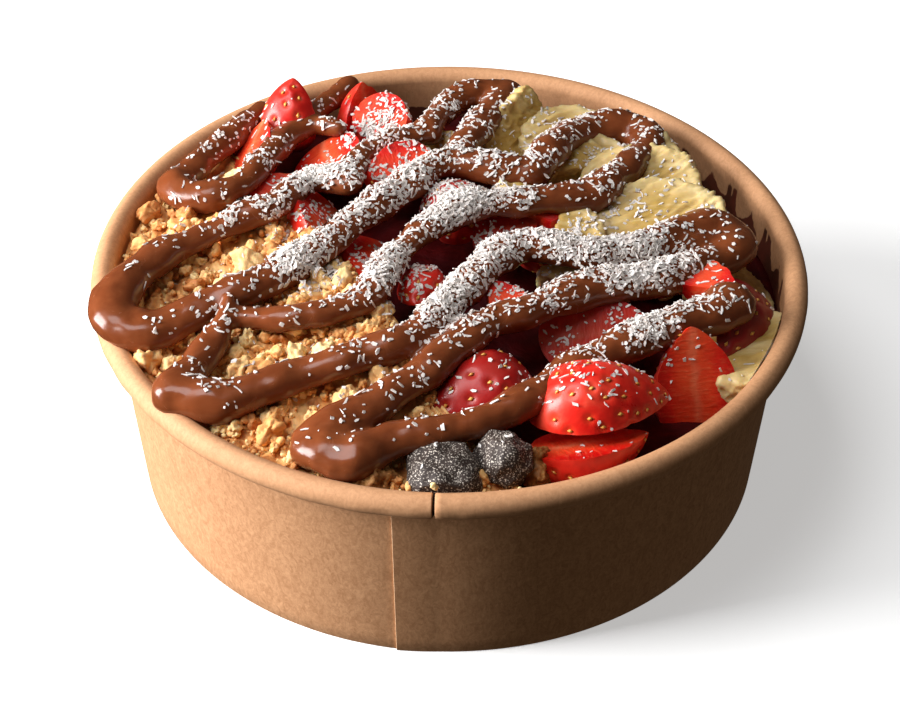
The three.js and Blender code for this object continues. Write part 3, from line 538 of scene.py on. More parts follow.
def bisected(obj, cuts, cut_index):
    """Cuts the mesh at planes (point, outward normal) in metres and closes it with faces of one material."""
    mesh = obj.data
    work = bmesh.new()
    work.from_mesh(mesh)
    for point, normal in cuts:
        geometry = work.verts[:] + work.edges[:] + work.faces[:]
        result = bmesh.ops.bisect_plane(work, geom=geometry, dist=1e-7, plane_co=point, plane_no=normal,
                                        clear_outer=True)
        edges = [e for e in result["geom_cut"] if isinstance(e, bmesh.types.BMEdge) and e.is_boundary]
        if not edges:
            continue
        made = bmesh.ops.holes_fill(work, edges=edges, sides=0)
        for face in made["faces"]:
            face.material_index = cut_index
            face.smooth = False
            for edge in face.edges:
                edge.smooth = False
    work.to_mesh(mesh)
    work.free()
    mesh.update()


# Strawberries

def berry_radius(share, width):
    return (width / 2) * np.sin(np.pi * share ** 0.76) ** 0.66


SEEDS_PER_AREA = 0.15
SEED_SINK = 0.22
SEED_SIZE = (0.42, 0.72, 0.3)
PIT_REACH = 0.95
PIT_DEPTH = 0.5
GOLDEN_ANGLE = math.pi * (3 - math.sqrt(5))
SEED_SHAPE = [(0, 0, 1), (1, 0, 0), (0, 1, 0), (-1, 0, 0), (0, -1, 0), (0, 0, -1)]
SEED_FACES = [(0, 1, 2), (0, 2, 3), (0, 3, 4), (0, 4, 1), (5, 2, 1), (5, 3, 2), (5, 4, 3), (5, 1, 4)]


def berry(row, number):
    kind, length, width, centre, tip, face = row
    name = f"strawberry_{number + 1:02d}"

    def skin(share, angle):
        lump = 1 + 0.035 * np.sin(2 * angle + number) + 0.02 * np.sin(5 * angle + 6 * share + number)
        radius = berry_radius(share, width) * lump
        return np.stack([radius * np.cos(angle), (share - 0.5) * length, -radius * np.sin(angle)], 1)

    rings, sides = (84, 120) if number + 1 in FINE_SKIN else (48, 72)
    shares = (1 - np.cos(np.linspace(0, np.pi, rings + 2)[1:-1])) / 2
    angles = around(sides)
    points = skin(*[part.ravel() for part in np.meshgrid(shares, angles, indexing="ij")])
    points = np.concatenate([points, [[0, -length / 2, 0], [0, length / 2, 0]]])

    # Seeds sit in small pits, in spirals from the stem end to the tip
    count = int(SEEDS_PER_AREA * length * width)
    turns = np.arange(count)
    jitter = 0.14 * np.random.default_rng(100 + number).standard_normal(count)
    seeds = skin(np.clip((turns + 0.7) / count, 0, 1) * 0.93 + 0.03, turns * GOLDEN_ANGLE + jitter)
    outward = points / np.maximum(np.linalg.norm(points, axis=1, keepdims=True), 1e-6)
    nearest = np.full(len(points), 1e9)
    for seed in seeds:
        nearest = np.minimum(nearest, np.linalg.norm(points - seed, axis=1))
    pit = np.exp(-(nearest / PIT_REACH) ** 2)
    points = points - outward * (PIT_DEPTH * pit)[:, None]
    faces = grid_faces(rings, sides)
    turn = basis(tip, face)
    placed = points @ turn.T + centre
    obj = mesh_object(name + "_fruit", placed, faces, [SKIN, FLESH, SEED])
    add_values(obj, "pit", pit)
    # Per-piece darkening: ripeness, and painted shade on the pieces in shadow
    add_values(obj, "ripe", np.full(len(points), RIPENESS_AND_SHADE.get(number + 1, 0.0)))
    add_values(obj, "place", points / np.array([width / 2, length / 2, width / 2]), "FLOAT_VECTOR")
    cuts = {
        "half": [((1, 0, 0), 0)],
        "quarter": [((1, 0, 0), 0), ((0.1, 0, 1), 0)],
        "slice": [((1, 0, 0), 2.4), ((-1, 0, 0), 2.4)],
        "chunk": [((1, 0, 0), 1), ((0, -1, 0), 0.28 * length)],
    }[kind]
    planes = []
    kept = np.ones(count, bool)
    for direction, distance in cuts:
        out = np.array(direction, float)
        out /= np.linalg.norm(out)
        kept &= seeds @ out < distance - 0.5
        world = turn @ out
        planes.append((Vector((np.array(centre) + world * distance) * MM), Vector(world)))
    bisected(obj, planes, 1)

    # Tear-shaped seeds, joined to the fruit
    shape = np.array(SEED_SHAPE, float) * SEED_SIZE
    seed_points, seed_faces = [], []
    for seed in seeds[kept]:
        out = seed / np.linalg.norm(seed)
        axes = np.stack([np.cross((0, 1, 0), out), (0, 1, 0), out], 1)
        axes[:, 0] /= max(np.linalg.norm(axes[:, 0]), 1e-6)
        axes[:, 1] = np.cross(out, axes[:, 0])
        local = shape @ axes.T + seed - out * SEED_SINK
        base = len(seed_points)
        seed_points.extend((local @ turn.T + centre).tolist())
        seed_faces.extend([tuple(base + i for i in f) for f in SEED_FACES])
    if seed_points:
        extra = mesh_object(name + "_seeds", seed_points, seed_faces, [SKIN, FLESH, SEED],
                            np.full(len(seed_faces), 2))
        work = bmesh.new()
        work.from_mesh(obj.data)
        work.from_mesh(extra.data)
        work.to_mesh(obj.data)
        work.free()
        bpy.data.meshes.remove(extra.data)
    kept_inside(obj)
    return finish_piece(obj, "strawberry", name)


# Banana

BANANA_VOXEL = 0.5


def banana(row, number):
    kind, radius, thickness, centre, axis, flat = row
    name = f"banana_{number + 1:02d}"
    sides = 96
    half = thickness / 2
    bevel = 0.7
    angles = around(sides)
    rings = []
    for level, inset in [(-half, 0.72), (-half, 0.42), (-half, bevel / radius), (-half + 0.25, 0.2 / radius),
                         (-half + bevel, 0), *[(v * half, 0) for v in (-0.4, 0, 0.4)], (half - bevel, 0),
                         (half - 0.25, 0.2 / radius), (half, bevel / radius), (half, 0.42), (half, 0.72)]:
        reach = radius * (1 + 0.035 * np.cos(3 * angles + 0.4)) * (1 - inset)
        reach = reach + 0.16 * np.sin(9 * angles + number + level) + 0.1 * np.sin(23 * angles + 2 * level)
        rings.append(np.stack([reach * np.sin(angles), np.full(sides, level), reach * np.cos(angles)], 1))
    points = np.concatenate(rings + [[[0, -half, 0], [0, half, 0]]])
    faces = grid_faces(len(rings), sides)
    turn = basis(axis, flat)
    obj = mesh_object(name + "_fruit", points @ turn.T + centre, faces, [BANANA])
    if kind == "half":
        out = turn @ np.array([1.0, 0, 0])
        bisected(obj, [(Vector((np.array(centre) + out * 0.1 * radius) * MM), Vector(out))], 0)
    baked(obj, ("REMESH", {"mode": "VOXEL", "voxel_size": BANANA_VOXEL * MM, "use_smooth_shade": True}))
    ridged(obj, centre, turn, number)
    kept_inside(obj)
    return finish_piece(obj, "banana", name)


def ridged(obj, centre, turn, number):
    """Soft fibrous ridges along one way of the slice, the place of each point in the slice, and painted shade
    for the grooves between the ridges.
    """
    mesh = obj.data
    inverse = turn.T
    radius = max(0.001, max((v.co - Vector(centre) * MM).length for v in mesh.vertices)) / MM
    place, groove = [], []
    for vertex, normal in zip(mesh.vertices, [n.vector.copy() for n in mesh.vertex_normals]):
        local = inverse @ (np.array(vertex.co) / MM - centre)
        place.append(local / radius)
        across = 0.5 * local[0] + 0.87 * local[2]
        along = Vector((0.09 * (local[0] - local[2]), local[1] * 0.5, across * 0.55 + number))
        ridge = 0.55 - 1.7 * abs(noise.noise(along)) + 0.3 * noise.noise(along * 3.2)
        torn = soft_noise(local[0] * 0.45, local[1] * 0.45, local[2] * 0.45 + 3 * number)
        torn += 0.5 * soft_noise(local[0] * 1.1, local[1] * 1.1, local[2] * 1.1 + number)
        edge = min(1.0, max(0.0, (math.hypot(local[0], local[2]) / radius - 0.6) * 3))
        vertex.co += normal * ((0.55 * ridge + 0.7 * torn * edge) * MM)
        # Painted shade for the grooves, strongest where the ridge is lowest
        groove.append(min(1.0, max(0.0, 0.25 - ridge)))
    mesh.update()
    add_values(obj, "groove", groove)
    add_values(obj, "place", place, "FLOAT_VECTOR")


# Chocolate and nuts

def icosphere(level):
    work = bmesh.new()
    bmesh.ops.create_icosphere(work, subdivisions=level, radius=1)
    points = np.array([v.co[:] for v in work.verts])
    faces = np.array([[v.index for v in f.verts] for f in work.faces])
    work.free()
    return points, faces


def turned(degrees):
    a, b, c = [math.radians(v) for v in degrees]
    rx = np.array([[1, 0, 0], [0, math.cos(a), -math.sin(a)], [0, math.sin(a), math.cos(a)]])
    ry = np.array([[math.cos(b), 0, math.sin(b)], [0, 1, 0], [-math.sin(b), 0, math.cos(b)]])
    rz = np.array([[math.cos(c), -math.sin(c), 0], [math.sin(c), math.cos(c), 0], [0, 0, 1]])
    return rx @ ry @ rz


def chunk(row, number):
    size, centre, turn = row
    name = f"chocolate_chunk_{number + 1}"
    points, faces = icosphere(5)
    boxed = points / np.max(np.abs(points), axis=1, keepdims=True)
    rounded = 0.4 * boxed + 0.6 * points * 1.25
    taper = 1 - 0.14 * np.maximum(0, rounded[:, 2:3])
    rounded = rounded * np.concatenate([taper, taper, np.ones_like(taper)], 1)
    shape = rounded * np.array(size) / 2
    shape += 0.35 * np.sin(shape[:, [1, 2, 0]] * 1.1 + number) * np.cos(shape[:, [2, 0, 1]] * 0.9)
    obj = mesh_object(name + "_piece", shape @ turned(turn).T + centre, faces, [CHOCOLATE])
    pushed(obj, 0.55, 0.26, number)
    pushed(obj, 0.16, 1.1, number + 5)
    kept_inside(obj)
    return finish_piece(obj, "dark_chocolate", name)


def nut(row, number):
    radii, centre = row
    name = f"roasted_nut_{number + 1}"
    points, faces = icosphere(5)
    obj = mesh_object(name + "_piece", points * radii + centre, faces, [NUT])
    pushed(obj, 1.6, 0.45, number + 20)
    pushed(obj, 0.5, 1.5, number + 30)
    kept_inside(obj)
    return finish_piece(obj, "roasted_nut", name)


# Sauce

ROPE_STEP = 0.6
ROPE_SIDES = 24
ROPE_FLATNESS = 0.86
SAUCE_VOXEL = 0.75


def smooth_route(points):
    """Centripetal curve through the points, sampled at even steps, with its tangents."""
    points = np.array(points, float)
    padded = np.concatenate([[2 * points[0] - points[1]], points, [2 * points[-1] - points[-2]]])
    samples = []
    for i in range(1, len(padded) - 2):
        p0, p1, p2, p3 = padded[i - 1:i + 3]
        d0, d1, d2 = [max(np.linalg.norm(b - a) ** 0.5, 1e-4) for a, b in ((p0, p1), (p1, p2), (p2, p3))]
        t1 = ((p1 - p0) / d0 - (p2 - p0) / (d0 + d1) + (p2 - p1) / d1) * d1
        t2 = ((p2 - p1) / d1 - (p3 - p1) / (d1 + d2) + (p3 - p2) / d2) * d1
        t = np.linspace(0, 1, 40, endpoint=i == len(padded) - 3)[:, None]
        samples.append(p1 + t1 * t + (-3 * p1 + 3 * p2 - 2 * t1 - t2) * t ** 2
                       + (2 * p1 - 2 * p2 + t1 + t2) * t ** 3)
    line = np.concatenate(samples)
    along = np.concatenate([[0], np.cumsum(np.linalg.norm(np.diff(line, axis=0), axis=1))])
    count = max(4, int(along[-1] / ROPE_STEP))
    even = np.linspace(0, along[-1], count + 1)
    line = np.stack([np.interp(even, along, line[:, k]) for k in range(3)], 1)
    tangent = np.gradient(line, axis=0)
    return line, unit_rows(tangent)


def run_line(run):
    route, radii, lift = run
    last = len(route) - 1
    points = []
    for i, (x, y) in enumerate(route):
        share = i / last
        points.append((x, y, float(bead_height(x, y)) + lift[0] * (1 - share) ** 3 + lift[1] * share ** 3))
    line, tangent = smooth_route(points)
    share = np.linspace(0, 1, len(line))
    radius = np.where(share < 0.5, radii[0] + (radii[1] - radii[0]) * np.minimum(1, share * 3.2),
                      radii[1] + (radii[2] - radii[1]) * np.maximum(0, share * 3.2 - 2.2))
    return line, tangent, radius


def run_mesh(run, number):
    line, tangent, radius = run_line(run)
    along = np.arange(len(line)) * ROPE_STEP
    middle = np.sin(np.pi * np.linspace(0, 1, len(line))) ** 0.5
    wave = 0.1 * np.sin(along * 0.19 + 1.7 * number) + 0.05 * np.sin(along * 0.53 + 2 * number)
    radius = radius * (1 - 0.03 * middle + middle * wave)
    # Domed ends
    caps = [(0.95, 0.3), (0.82, 0.57), (0.6, 0.8), (0.32, 0.95)]
    first = [line[0] - tangent[0] * radius[0] * out for out, _ in caps]
    last = [line[-1] + tangent[-1] * radius[-1] * out for out, _ in caps[::-1]]
    centres = np.concatenate([first, line, last])
    ways = np.concatenate([[tangent[0]] * 4, tangent, [tangent[-1]] * 4])
    narrow = np.array([share for _, share in caps])
    reach = np.concatenate([radius[0] * narrow, radius, radius[-1] * narrow[::-1]])
    side = unit_rows(np.cross(ways, (0, 0, 1)))
    up = np.cross(side, ways)
    angle = around(ROPE_SIDES)
    ring = (centres[:, None] + reach[:, None, None] * (side[:, None] * np.cos(angle)[None, :, None]
            - up[:, None] * (ROPE_FLATNESS * np.sin(angle))[None, :, None]))
    points = ring.reshape(-1, 3)
    ends = np.array([line[0] - tangent[0] * radius[0], line[-1] + tangent[-1] * radius[-1]])
    faces = grid_faces(len(centres), ROPE_SIDES)
    return np.concatenate([points, ends]), faces


def sauce(name, runs, node, seed):
    points, faces = [], []
    base = 0
    for number, run in enumerate(runs):
        more, shape = run_mesh(run, number + seed)
        points.append(more)
        faces.extend([tuple(base + i for i in f) for f in shape])
        base += len(more)
    obj = mesh_object(name, np.concatenate(points), faces, [SAUCE])
    baked(obj, ("REMESH", {"mode": "VOXEL", "voxel_size": SAUCE_VOXEL * MM, "use_smooth_shade": True}),
          ("SMOOTH", {"factor": 0.5, "iterations": 3}))
    pushed(obj, 0.9, 0.12, seed)
    pushed(obj, 0.25, 0.35, seed + 1)
    return finish_piece(obj, "chocolate_sauce", node)


# Bowl

def seam_step(degrees):
    past = math.radians(degrees - SEAM_ANGLE) * NECK_RADIUS
    return SEAM_STEP * (1 - past / SEAM_LAP) if 0 <= past < SEAM_LAP else 0


# Drips of pulp up the inside: angle in degrees, top, half width in degrees
DRIPS = [(50, 43, 3), (43, 45.4, 0.9), (40.6, 44, 1.4), (33, 43.2, 2.4), (27.5, 45.6, 0.6), (25.8, 44.6, 0.8),
         (19, 42, 2.8), (13, 45.4, 1), (10.5, 43.6, 1.8), (3, 43, 2.2), (-1.5, 45, 0.8), (-8, 41.5, 2),
         (66, 41, 3), (84, 41, 4), (104, 40.6, 4), (150, 40.6, 5)]
PULP_LINE = 38.6


def stain_at(degrees, z):
    """How far the pulp wets the inside: over 0.5 below its ragged upper edge."""
    top = PULP_LINE + 1.6 * soft_noise(degrees * 0.16, 5, 1) + 0.9 * soft_noise(degrees * 0.7, z * 0.1, 8)
    drips = [(height - PULP_LINE) * math.exp(-((degrees - angle) / wide) ** 2)
             for angle, height, wide in DRIPS]
    return min(1.0, max(0.0, 0.5 + (top + max(drips) - z) / 1.6))


def bowl():
    # The profile goes from the underside of the floor over the foot, the wall and the roll to its top
    profile = [(FLOOR_RING, FLOOR_UNDERSIDE), (FOOT_RADIUS - FOOT_WIDTH, FLOOR_UNDERSIDE)]
    foot = len(profile)
    profile += [(FOOT_RADIUS - FOOT_WIDTH, 0), (FOOT_RADIUS - 0.15, 0), (FOOT_RADIUS, 0.2)]
    for share in np.arange(1, 12) / 12:
        profile.append((FOOT_RADIUS + (NECK_RADIUS - FOOT_RADIUS) * share, NECK_HEIGHT * share))
    outside = len(profile)
    profile.append((NECK_RADIUS, NECK_HEIGHT - 0.3))
    first_roll = len(profile)
    for degrees in np.linspace(-100, 175, 41):
        angle = math.radians(degrees)
        groove = 0.18 * math.exp(-((degrees + 38) / 4) ** 2)
        profile.append((ROLL_RADIUS + (ROLL_HALF_WIDTH - groove) * math.cos(angle),
                        ROLL_HEIGHT + (ROLL_HALF_HEIGHT - groove) * math.sin(angle)))
    last_roll = len(profile) - 1
    profile += [(inner_radius(z), z) for z in np.linspace(NECK_HEIGHT - 1, FLOOR_TOP, INNER_ROWS)]
    profile += [(60, FLOOR_TOP), (FLOOR_RING, FLOOR_TOP)]

    # Every degree, with more columns where drips show and at the seam and the notch
    drips = np.arange(-12, 60, 1.0)
    angles = sorted([*(np.arange(0, 360, 1.0) - 180 + 0.001), *(drips + 0.35), *(drips + 0.68),
                     SEAM_ANGLE - RAW_EDGE, SEAM_ANGLE,
                     *[NOTCH_ANGLE + turn for turn in (-0.35, -0.18, 0, 0.18, 0.35)]])
    rows, columns = len(profile), len(angles)
    points = np.zeros((rows, columns, 3))
    stain, calm = np.zeros((2, rows, columns))
    calm[first_roll:last_roll + INNER_ROWS + 1] = 1
    for j, degrees in enumerate(angles):
        angle = math.radians(degrees)
        pleat = 0.07 * math.sin(angle * 46) * (0.5 + 0.5 * math.sin(angle * 7 + 1))
        for i, (radius, z) in enumerate(profile):
            if foot < i <= outside:
                radius += seam_step(degrees) * (1 if i > foot + 2 else 0.95)
            if first_roll <= i <= last_roll:
                notch = 0.75 * math.exp(-((degrees - NOTCH_ANGLE) / 0.16) ** 2)
                crease = 0.16 * math.exp(-((degrees - NOTCH_ANGLE - 1.0 - 0.08 * (last_roll - i)) / 0.3) ** 2)
                shrink = 1 - (notch + crease + (pleat if i < first_roll + 16 else 0)) / ROLL_HALF_WIDTH
                radius = ROLL_RADIUS + (radius - ROLL_RADIUS) * shrink
                z = ROLL_HEIGHT + (z - ROLL_HEIGHT) * shrink
            if i > last_roll and z > FLOOR_TOP:
                stain[i, j] = stain_at(degrees, z)
            points[i, j] = (radius * math.cos(angle), radius * math.sin(angle), z)
    points = np.concatenate([points.reshape(-1, 3), [[0, 0, FLOOR_UNDERSIDE], [0, 0, FLOOR_TOP]]])
    faces = grid_faces(rows, columns)
    middles = (np.array(angles) + np.append(angles[1:], angles[0] + 360)) / 2
    raw = (middles > SEAM_ANGLE - RAW_EDGE) & (middles < SEAM_ANGLE)
    # Painted shade: the roll's faces at the notch take the dark slit kraft
    slit_shade = np.abs(middles - NOTCH_ANGLE) < SLIT_SHADE_REACH
    indices = np.zeros((rows + 1, columns), int)
    indices[foot + 1:outside + 1, raw] = 1
    indices[first_roll:last_roll, slit_shade] = 2
    obj = mesh_object("paper_bowl_wall", points, faces, [KRAFT, KRAFT_EDGE, SLIT_SHADE], indices.ravel())
    add_values(obj, "stain", np.append(stain, [0, 0]))
    add_values(obj, "calm", np.append(calm, [0, 0]))
    work = bmesh.new()
    work.from_mesh(obj.data)
    for edge in work.edges:
        edge.smooth = edge.calc_face_angle(0) < SHARP_ANGLE
    bmesh.ops.recalc_face_normals(work, faces=work.faces)
    work.to_mesh(obj.data)
    work.free()
    return finish_piece(obj, "kraft_paper", "paper_bowl")


# Acai pulp

def acai():
    sides = 220
    bottom = FLOOR_TOP + GAP
    angle = around(sides)
    rings = []
    for z in np.linspace(bottom, ACAI_EDGE - 1, 8):
        reach = inner_radius(z) - 0.05
        rings.append(np.stack([reach * np.cos(angle), reach * np.sin(angle), np.full(sides, z)], 1))
    for share in np.linspace(1, 0.02, 60):
        reach = share * (inner_radius(ACAI_EDGE) - 0.05)
        x, y = reach * np.cos(angle), reach * np.sin(angle)
        wave = [0.7 * noise.fractal(Vector((a * 0.11, b * 0.11, 4)), 0.9, 2.0, 4) for a, b in zip(x, y)]
        rings.append(np.stack([x, y, acai_height(x, y) + wave], 1))
    points = np.concatenate(rings + [[[0, 0, bottom], [0, 0, acai_height(0, 0)]]])
    faces = grid_faces(len(rings), sides)
    obj = mesh_object("acai_pulp_body", points, faces, [ACAI])
    return finish_piece(obj, "acai", "acai_base")


# Granola

def granola_reach(angle):
    cx, cy = GRANOLA_CENTRE
    dx, dy = math.cos(angle), math.sin(angle)
    along = cx * dx + cy * dy
    to_wall = -along + math.sqrt(along ** 2 + GRANOLA_RIM ** 2 - cx ** 2 - cy ** 2)
    ex, ey = GRANOLA_EDGE_TO[0] - GRANOLA_EDGE_FROM[0], GRANOLA_EDGE_TO[1] - GRANOLA_EDGE_FROM[1]
    across = dx * ey - dy * ex
    offset = (GRANOLA_EDGE_FROM[0] - cx) * ey - (GRANOLA_EDGE_FROM[1] - cy) * ex
    return min(to_wall, offset / across) if across * offset > 0 else to_wall


def lump_kinds(level, seed):
    """Knobbly lump shapes: a ball whose surface is made of rounded puffs."""
    random = np.random.default_rng(seed)
    ball, faces = icosphere(level)
    shapes = []
    for _ in range(LUMP_KINDS):
        knobs = unit_rows(random.standard_normal((int(random.integers(14, 26)), 3)))
        away = np.arccos(np.clip(ball @ knobs.T, -1, 1))
        size = random.uniform(0.32, 0.72, len(knobs))
        height = np.max(np.sqrt(np.maximum(0, 1 - (away / size) ** 2)) * size, axis=1)
        shift = Vector(random.uniform(0, 50, 3))
        rough = [0.42 * noise.noise(Vector(p) * 1.3 + shift) + 0.16 * noise.noise(Vector(p) * 4 + shift)
                 + 0.07 * noise.noise(Vector(p) * 9 + shift) for p in ball.tolist()]
        shapes.append(ball * (0.62 + 0.5 * height + rough)[:, None])
    return shapes, faces


def random_turn(random):
    q = random.standard_normal(4)
    q /= np.linalg.norm(q)
    w, x, y, z = q
    return np.array([[1 - 2 * (y * y + z * z), 2 * (x * y - z * w), 2 * (x * z + y * w)],
                     [2 * (x * y + z * w), 1 - 2 * (x * x + z * z), 2 * (y * z - x * w)],
                     [2 * (x * z - y * w), 2 * (y * z + x * w), 1 - 2 * (x * x + y * y)]])


def scattered(name, shapes, faces, places, seed):
    """Granola as one object of many turned copies. A place is (centre, size, shade)."""
    random = np.random.default_rng(seed)
    points, polygons, shade = [], [], []
    for i, (centre, size, tone) in enumerate(places):
        shape = shapes[int(random.integers(len(shapes)))]
        stretch = random.uniform(0.62, 1.25, 3)
        points.append((shape * stretch * size) @ random_turn(random).T + centre)
        polygons.append(faces + i * len(shape))
        shade.append(np.full(len(shape), tone))
    obj = mesh_object(name, np.concatenate(points), np.concatenate(polygons).tolist(), [GRANOLA])
    add_values(obj, "shade", np.concatenate(shade))
    return finish_piece(obj, "granola")


def rope_points():
    lines = [run_line(run) for run in SAUCE_LEFT + SAUCE_MAIN]
    return np.concatenate([line for line, _, _ in lines]), np.concatenate([radius for _, _, radius in lines])


ROPE, ROPE_RADIUS = rope_points()


def rope_room(spot):
    """Distance from a point to the sauce's surface."""
    return float(np.min(np.linalg.norm(ROPE - spot, axis=1) - ROPE_RADIUS))


def fruit_room(spot):
    """Rough distance to the nearest fruit or chocolate piece."""
    best = 1e9
    for _, length, width, centre, _, _ in BERRIES:
        best = min(best, np.linalg.norm(np.array(centre) - spot) - 0.25 * (length + width))
    for _, radius, _, centre, _, _ in BANANAS:
        best = min(best, np.linalg.norm(np.array(centre) - spot) - 0.85 * radius)
    for size, centre, _ in CHUNKS:
        best = min(best, np.linalg.norm(np.array(centre) - spot) - 0.5 * sum(size) / 3)
    return best


# A single yellow crumb that lies between the chocolate and the rim
YELLOW_CRUMB = (-2.7, -70.9, 49)


def granola():
    random = np.random.default_rng(7)
    cx, cy = GRANOLA_CENTRE
    # The core that carries the clusters
    angle = around(BED_SPOKES)
    reach = np.array([granola_reach(a) for a in angle])
    rings = []
    for share, on_top in [(1, False), *[(s, True) for s in np.linspace(1, 0.02, BED_STEPS)]]:
        x, y = cx + share * reach * np.cos(angle), cy + share * reach * np.sin(angle)
        if on_top:
            rough = [1.7 * (0.55 - noise.voronoi(Vector((a * 0.36, b * 0.36, 1)))[0][0])
                     + 0.9 * noise.fractal(Vector((a * 0.5, b * 0.5, 8)), 0.9, 2.0, 3) for a, b in zip(x, y)]
            z = granola_top(x, y) + rough + 0.5
        else:
            z = acai_height(x, y) - 0.5
        rings.append(np.stack([x, y, z], 1))
    points = np.concatenate(rings + [[[cx, cy, acai_height(cx, cy) - 0.5], [cx, cy, granola_top(cx, cy)]]])
    faces = grid_faces(len(rings), BED_SPOKES)
    core = mesh_object("granola_bed", points, faces, [GRANOLA])
    tones = [0.32 + 0.45 * noise.cell(Vector((x * 0.36, y * 0.36, 1))) for x, y, _ in points]
    add_values(core, "shade", tones)
    finish_piece(core, "granola", "granola_heap")

    for number, (name, level, tries, most, sizes, spacing, lift, edge) in enumerate(LUMPS):
        shapes, faces = lump_kinds(level, 21 + number)
        placed = []
        for i in range(tries):
            if len(placed) >= most:
                break
            a = 2 * math.pi * random.random()
            share = math.sqrt(random.random())
            size = sizes[0] + (sizes[1] - sizes[0]) * random.random() ** 1.6 * (1 - i / tries)
            tone = random.random()
            r = share * (granola_reach(a) - edge)
            x, y = cx + r * math.cos(a), cy + r * math.sin(a)
            z = float(granola_top(x, y)) + lift * size + 0.6 * random.random()
            spot = np.array([x, y, z])
            if rope_room(spot) < -0.35 * size or fruit_room(spot) < 0.1 * size:
                continue
            if spacing and any(np.hypot(p[0] - x, p[1] - y) < spacing * (s + size) for p, s, _ in placed):
                continue
            placed.append((spot, size, tone))
        if name == "granola_crumbs":
            placed.append((np.array(YELLOW_CRUMB), 1.1, 1.0))
        scattered(name, shapes, faces, placed, 31 + number)


# Coconut

# Share of the falling shreds that stay, by what they land on
COCONUT_HOLD = {"chocolate_ropes": 1.0, "strawberry": 0.5, "banana": 0.75, "granola": 0.35,
                "chocolate_chunk": 0.5}
CHIP_TRIANGLES = 172000
SHRED_TRIANGLES = 34000
SHRED_SHARE = 0.18
DROPS = 300000
DROP_HEIGHT = 80
COCONUT_REACH = 67.5
COCONUT_LOWEST = 44.5
CLUMPS = 70
PILE_CELL = 0.8
PILE_LAYERS = 6


def chip(points, faces, random, spot, way, side, up):
    """A flat flake with an uneven outline, now and then a crumb."""
    small = random.random() < 0.3
    length = random.uniform(0.35, 0.8) if small else random.uniform(0.8, 2.1)
    width = length * random.uniform(0.6, 1) if small else random.uniform(0.5, 1.15)
    thick = random.uniform(0.1, 0.2)
    corners = int(random.integers(4, 7))
    bend = random.uniform(-0.35, 0.35)
    at = len(points)
    for level in (-0.5, 0.5):
        turn = random.uniform(0, 0.4)
        for j in range(corners):
            angle = 2 * math.pi * (j + 0.5) / corners + turn
            reach = 0.62 + 0.38 * math.sin(2.7 * j + 11 * bend) ** 2
            u, v = reach * math.cos(angle) * length / 2, reach * math.sin(angle) * width / 2
            points.append(spot + way * u + side * v + up * (level * thick + bend * u * u))
    for j in range(corners):
        n = (j + 1) % corners
        faces.append((at + j, at + n, at + corners + n, at + corners + j))
    faces.append(tuple(at + j for j in reversed(range(corners))))
    faces.append(tuple(at + corners + j for j in range(corners)))
    return 4 * corners - 4


def shred(points, faces, random, spot, way, side, up):
    """A thin bent shred."""
    at = len(points)
    length, width, thick = random.uniform(1.3, 2.6), random.uniform(0.14, 0.26), random.uniform(0.07, 0.13)
    bend = random.uniform(-0.6, 0.6) * length
    for share, narrow in ((-0.5, 0.5), (0.0, 1.0), (0.5, 0.6)):
        middle = spot + way * (share * length) + side * (bend * (0.25 - share ** 2))
        for c, d in ((-1, -1), (1, -1), (1, 1), (-1, 1)):
            points.append(middle + side * (c * width * narrow) + up * (d * thick))
    for k in (0, 4):
        for j in range(4):
            n = (j + 1) % 4
            faces.append((at + k + j, at + k + n, at + k + 4 + n, at + k + 4 + j))
    faces.append((at + 3, at + 2, at + 1, at))
    faces.append((at + 8, at + 9, at + 10, at + 11))
    return 20


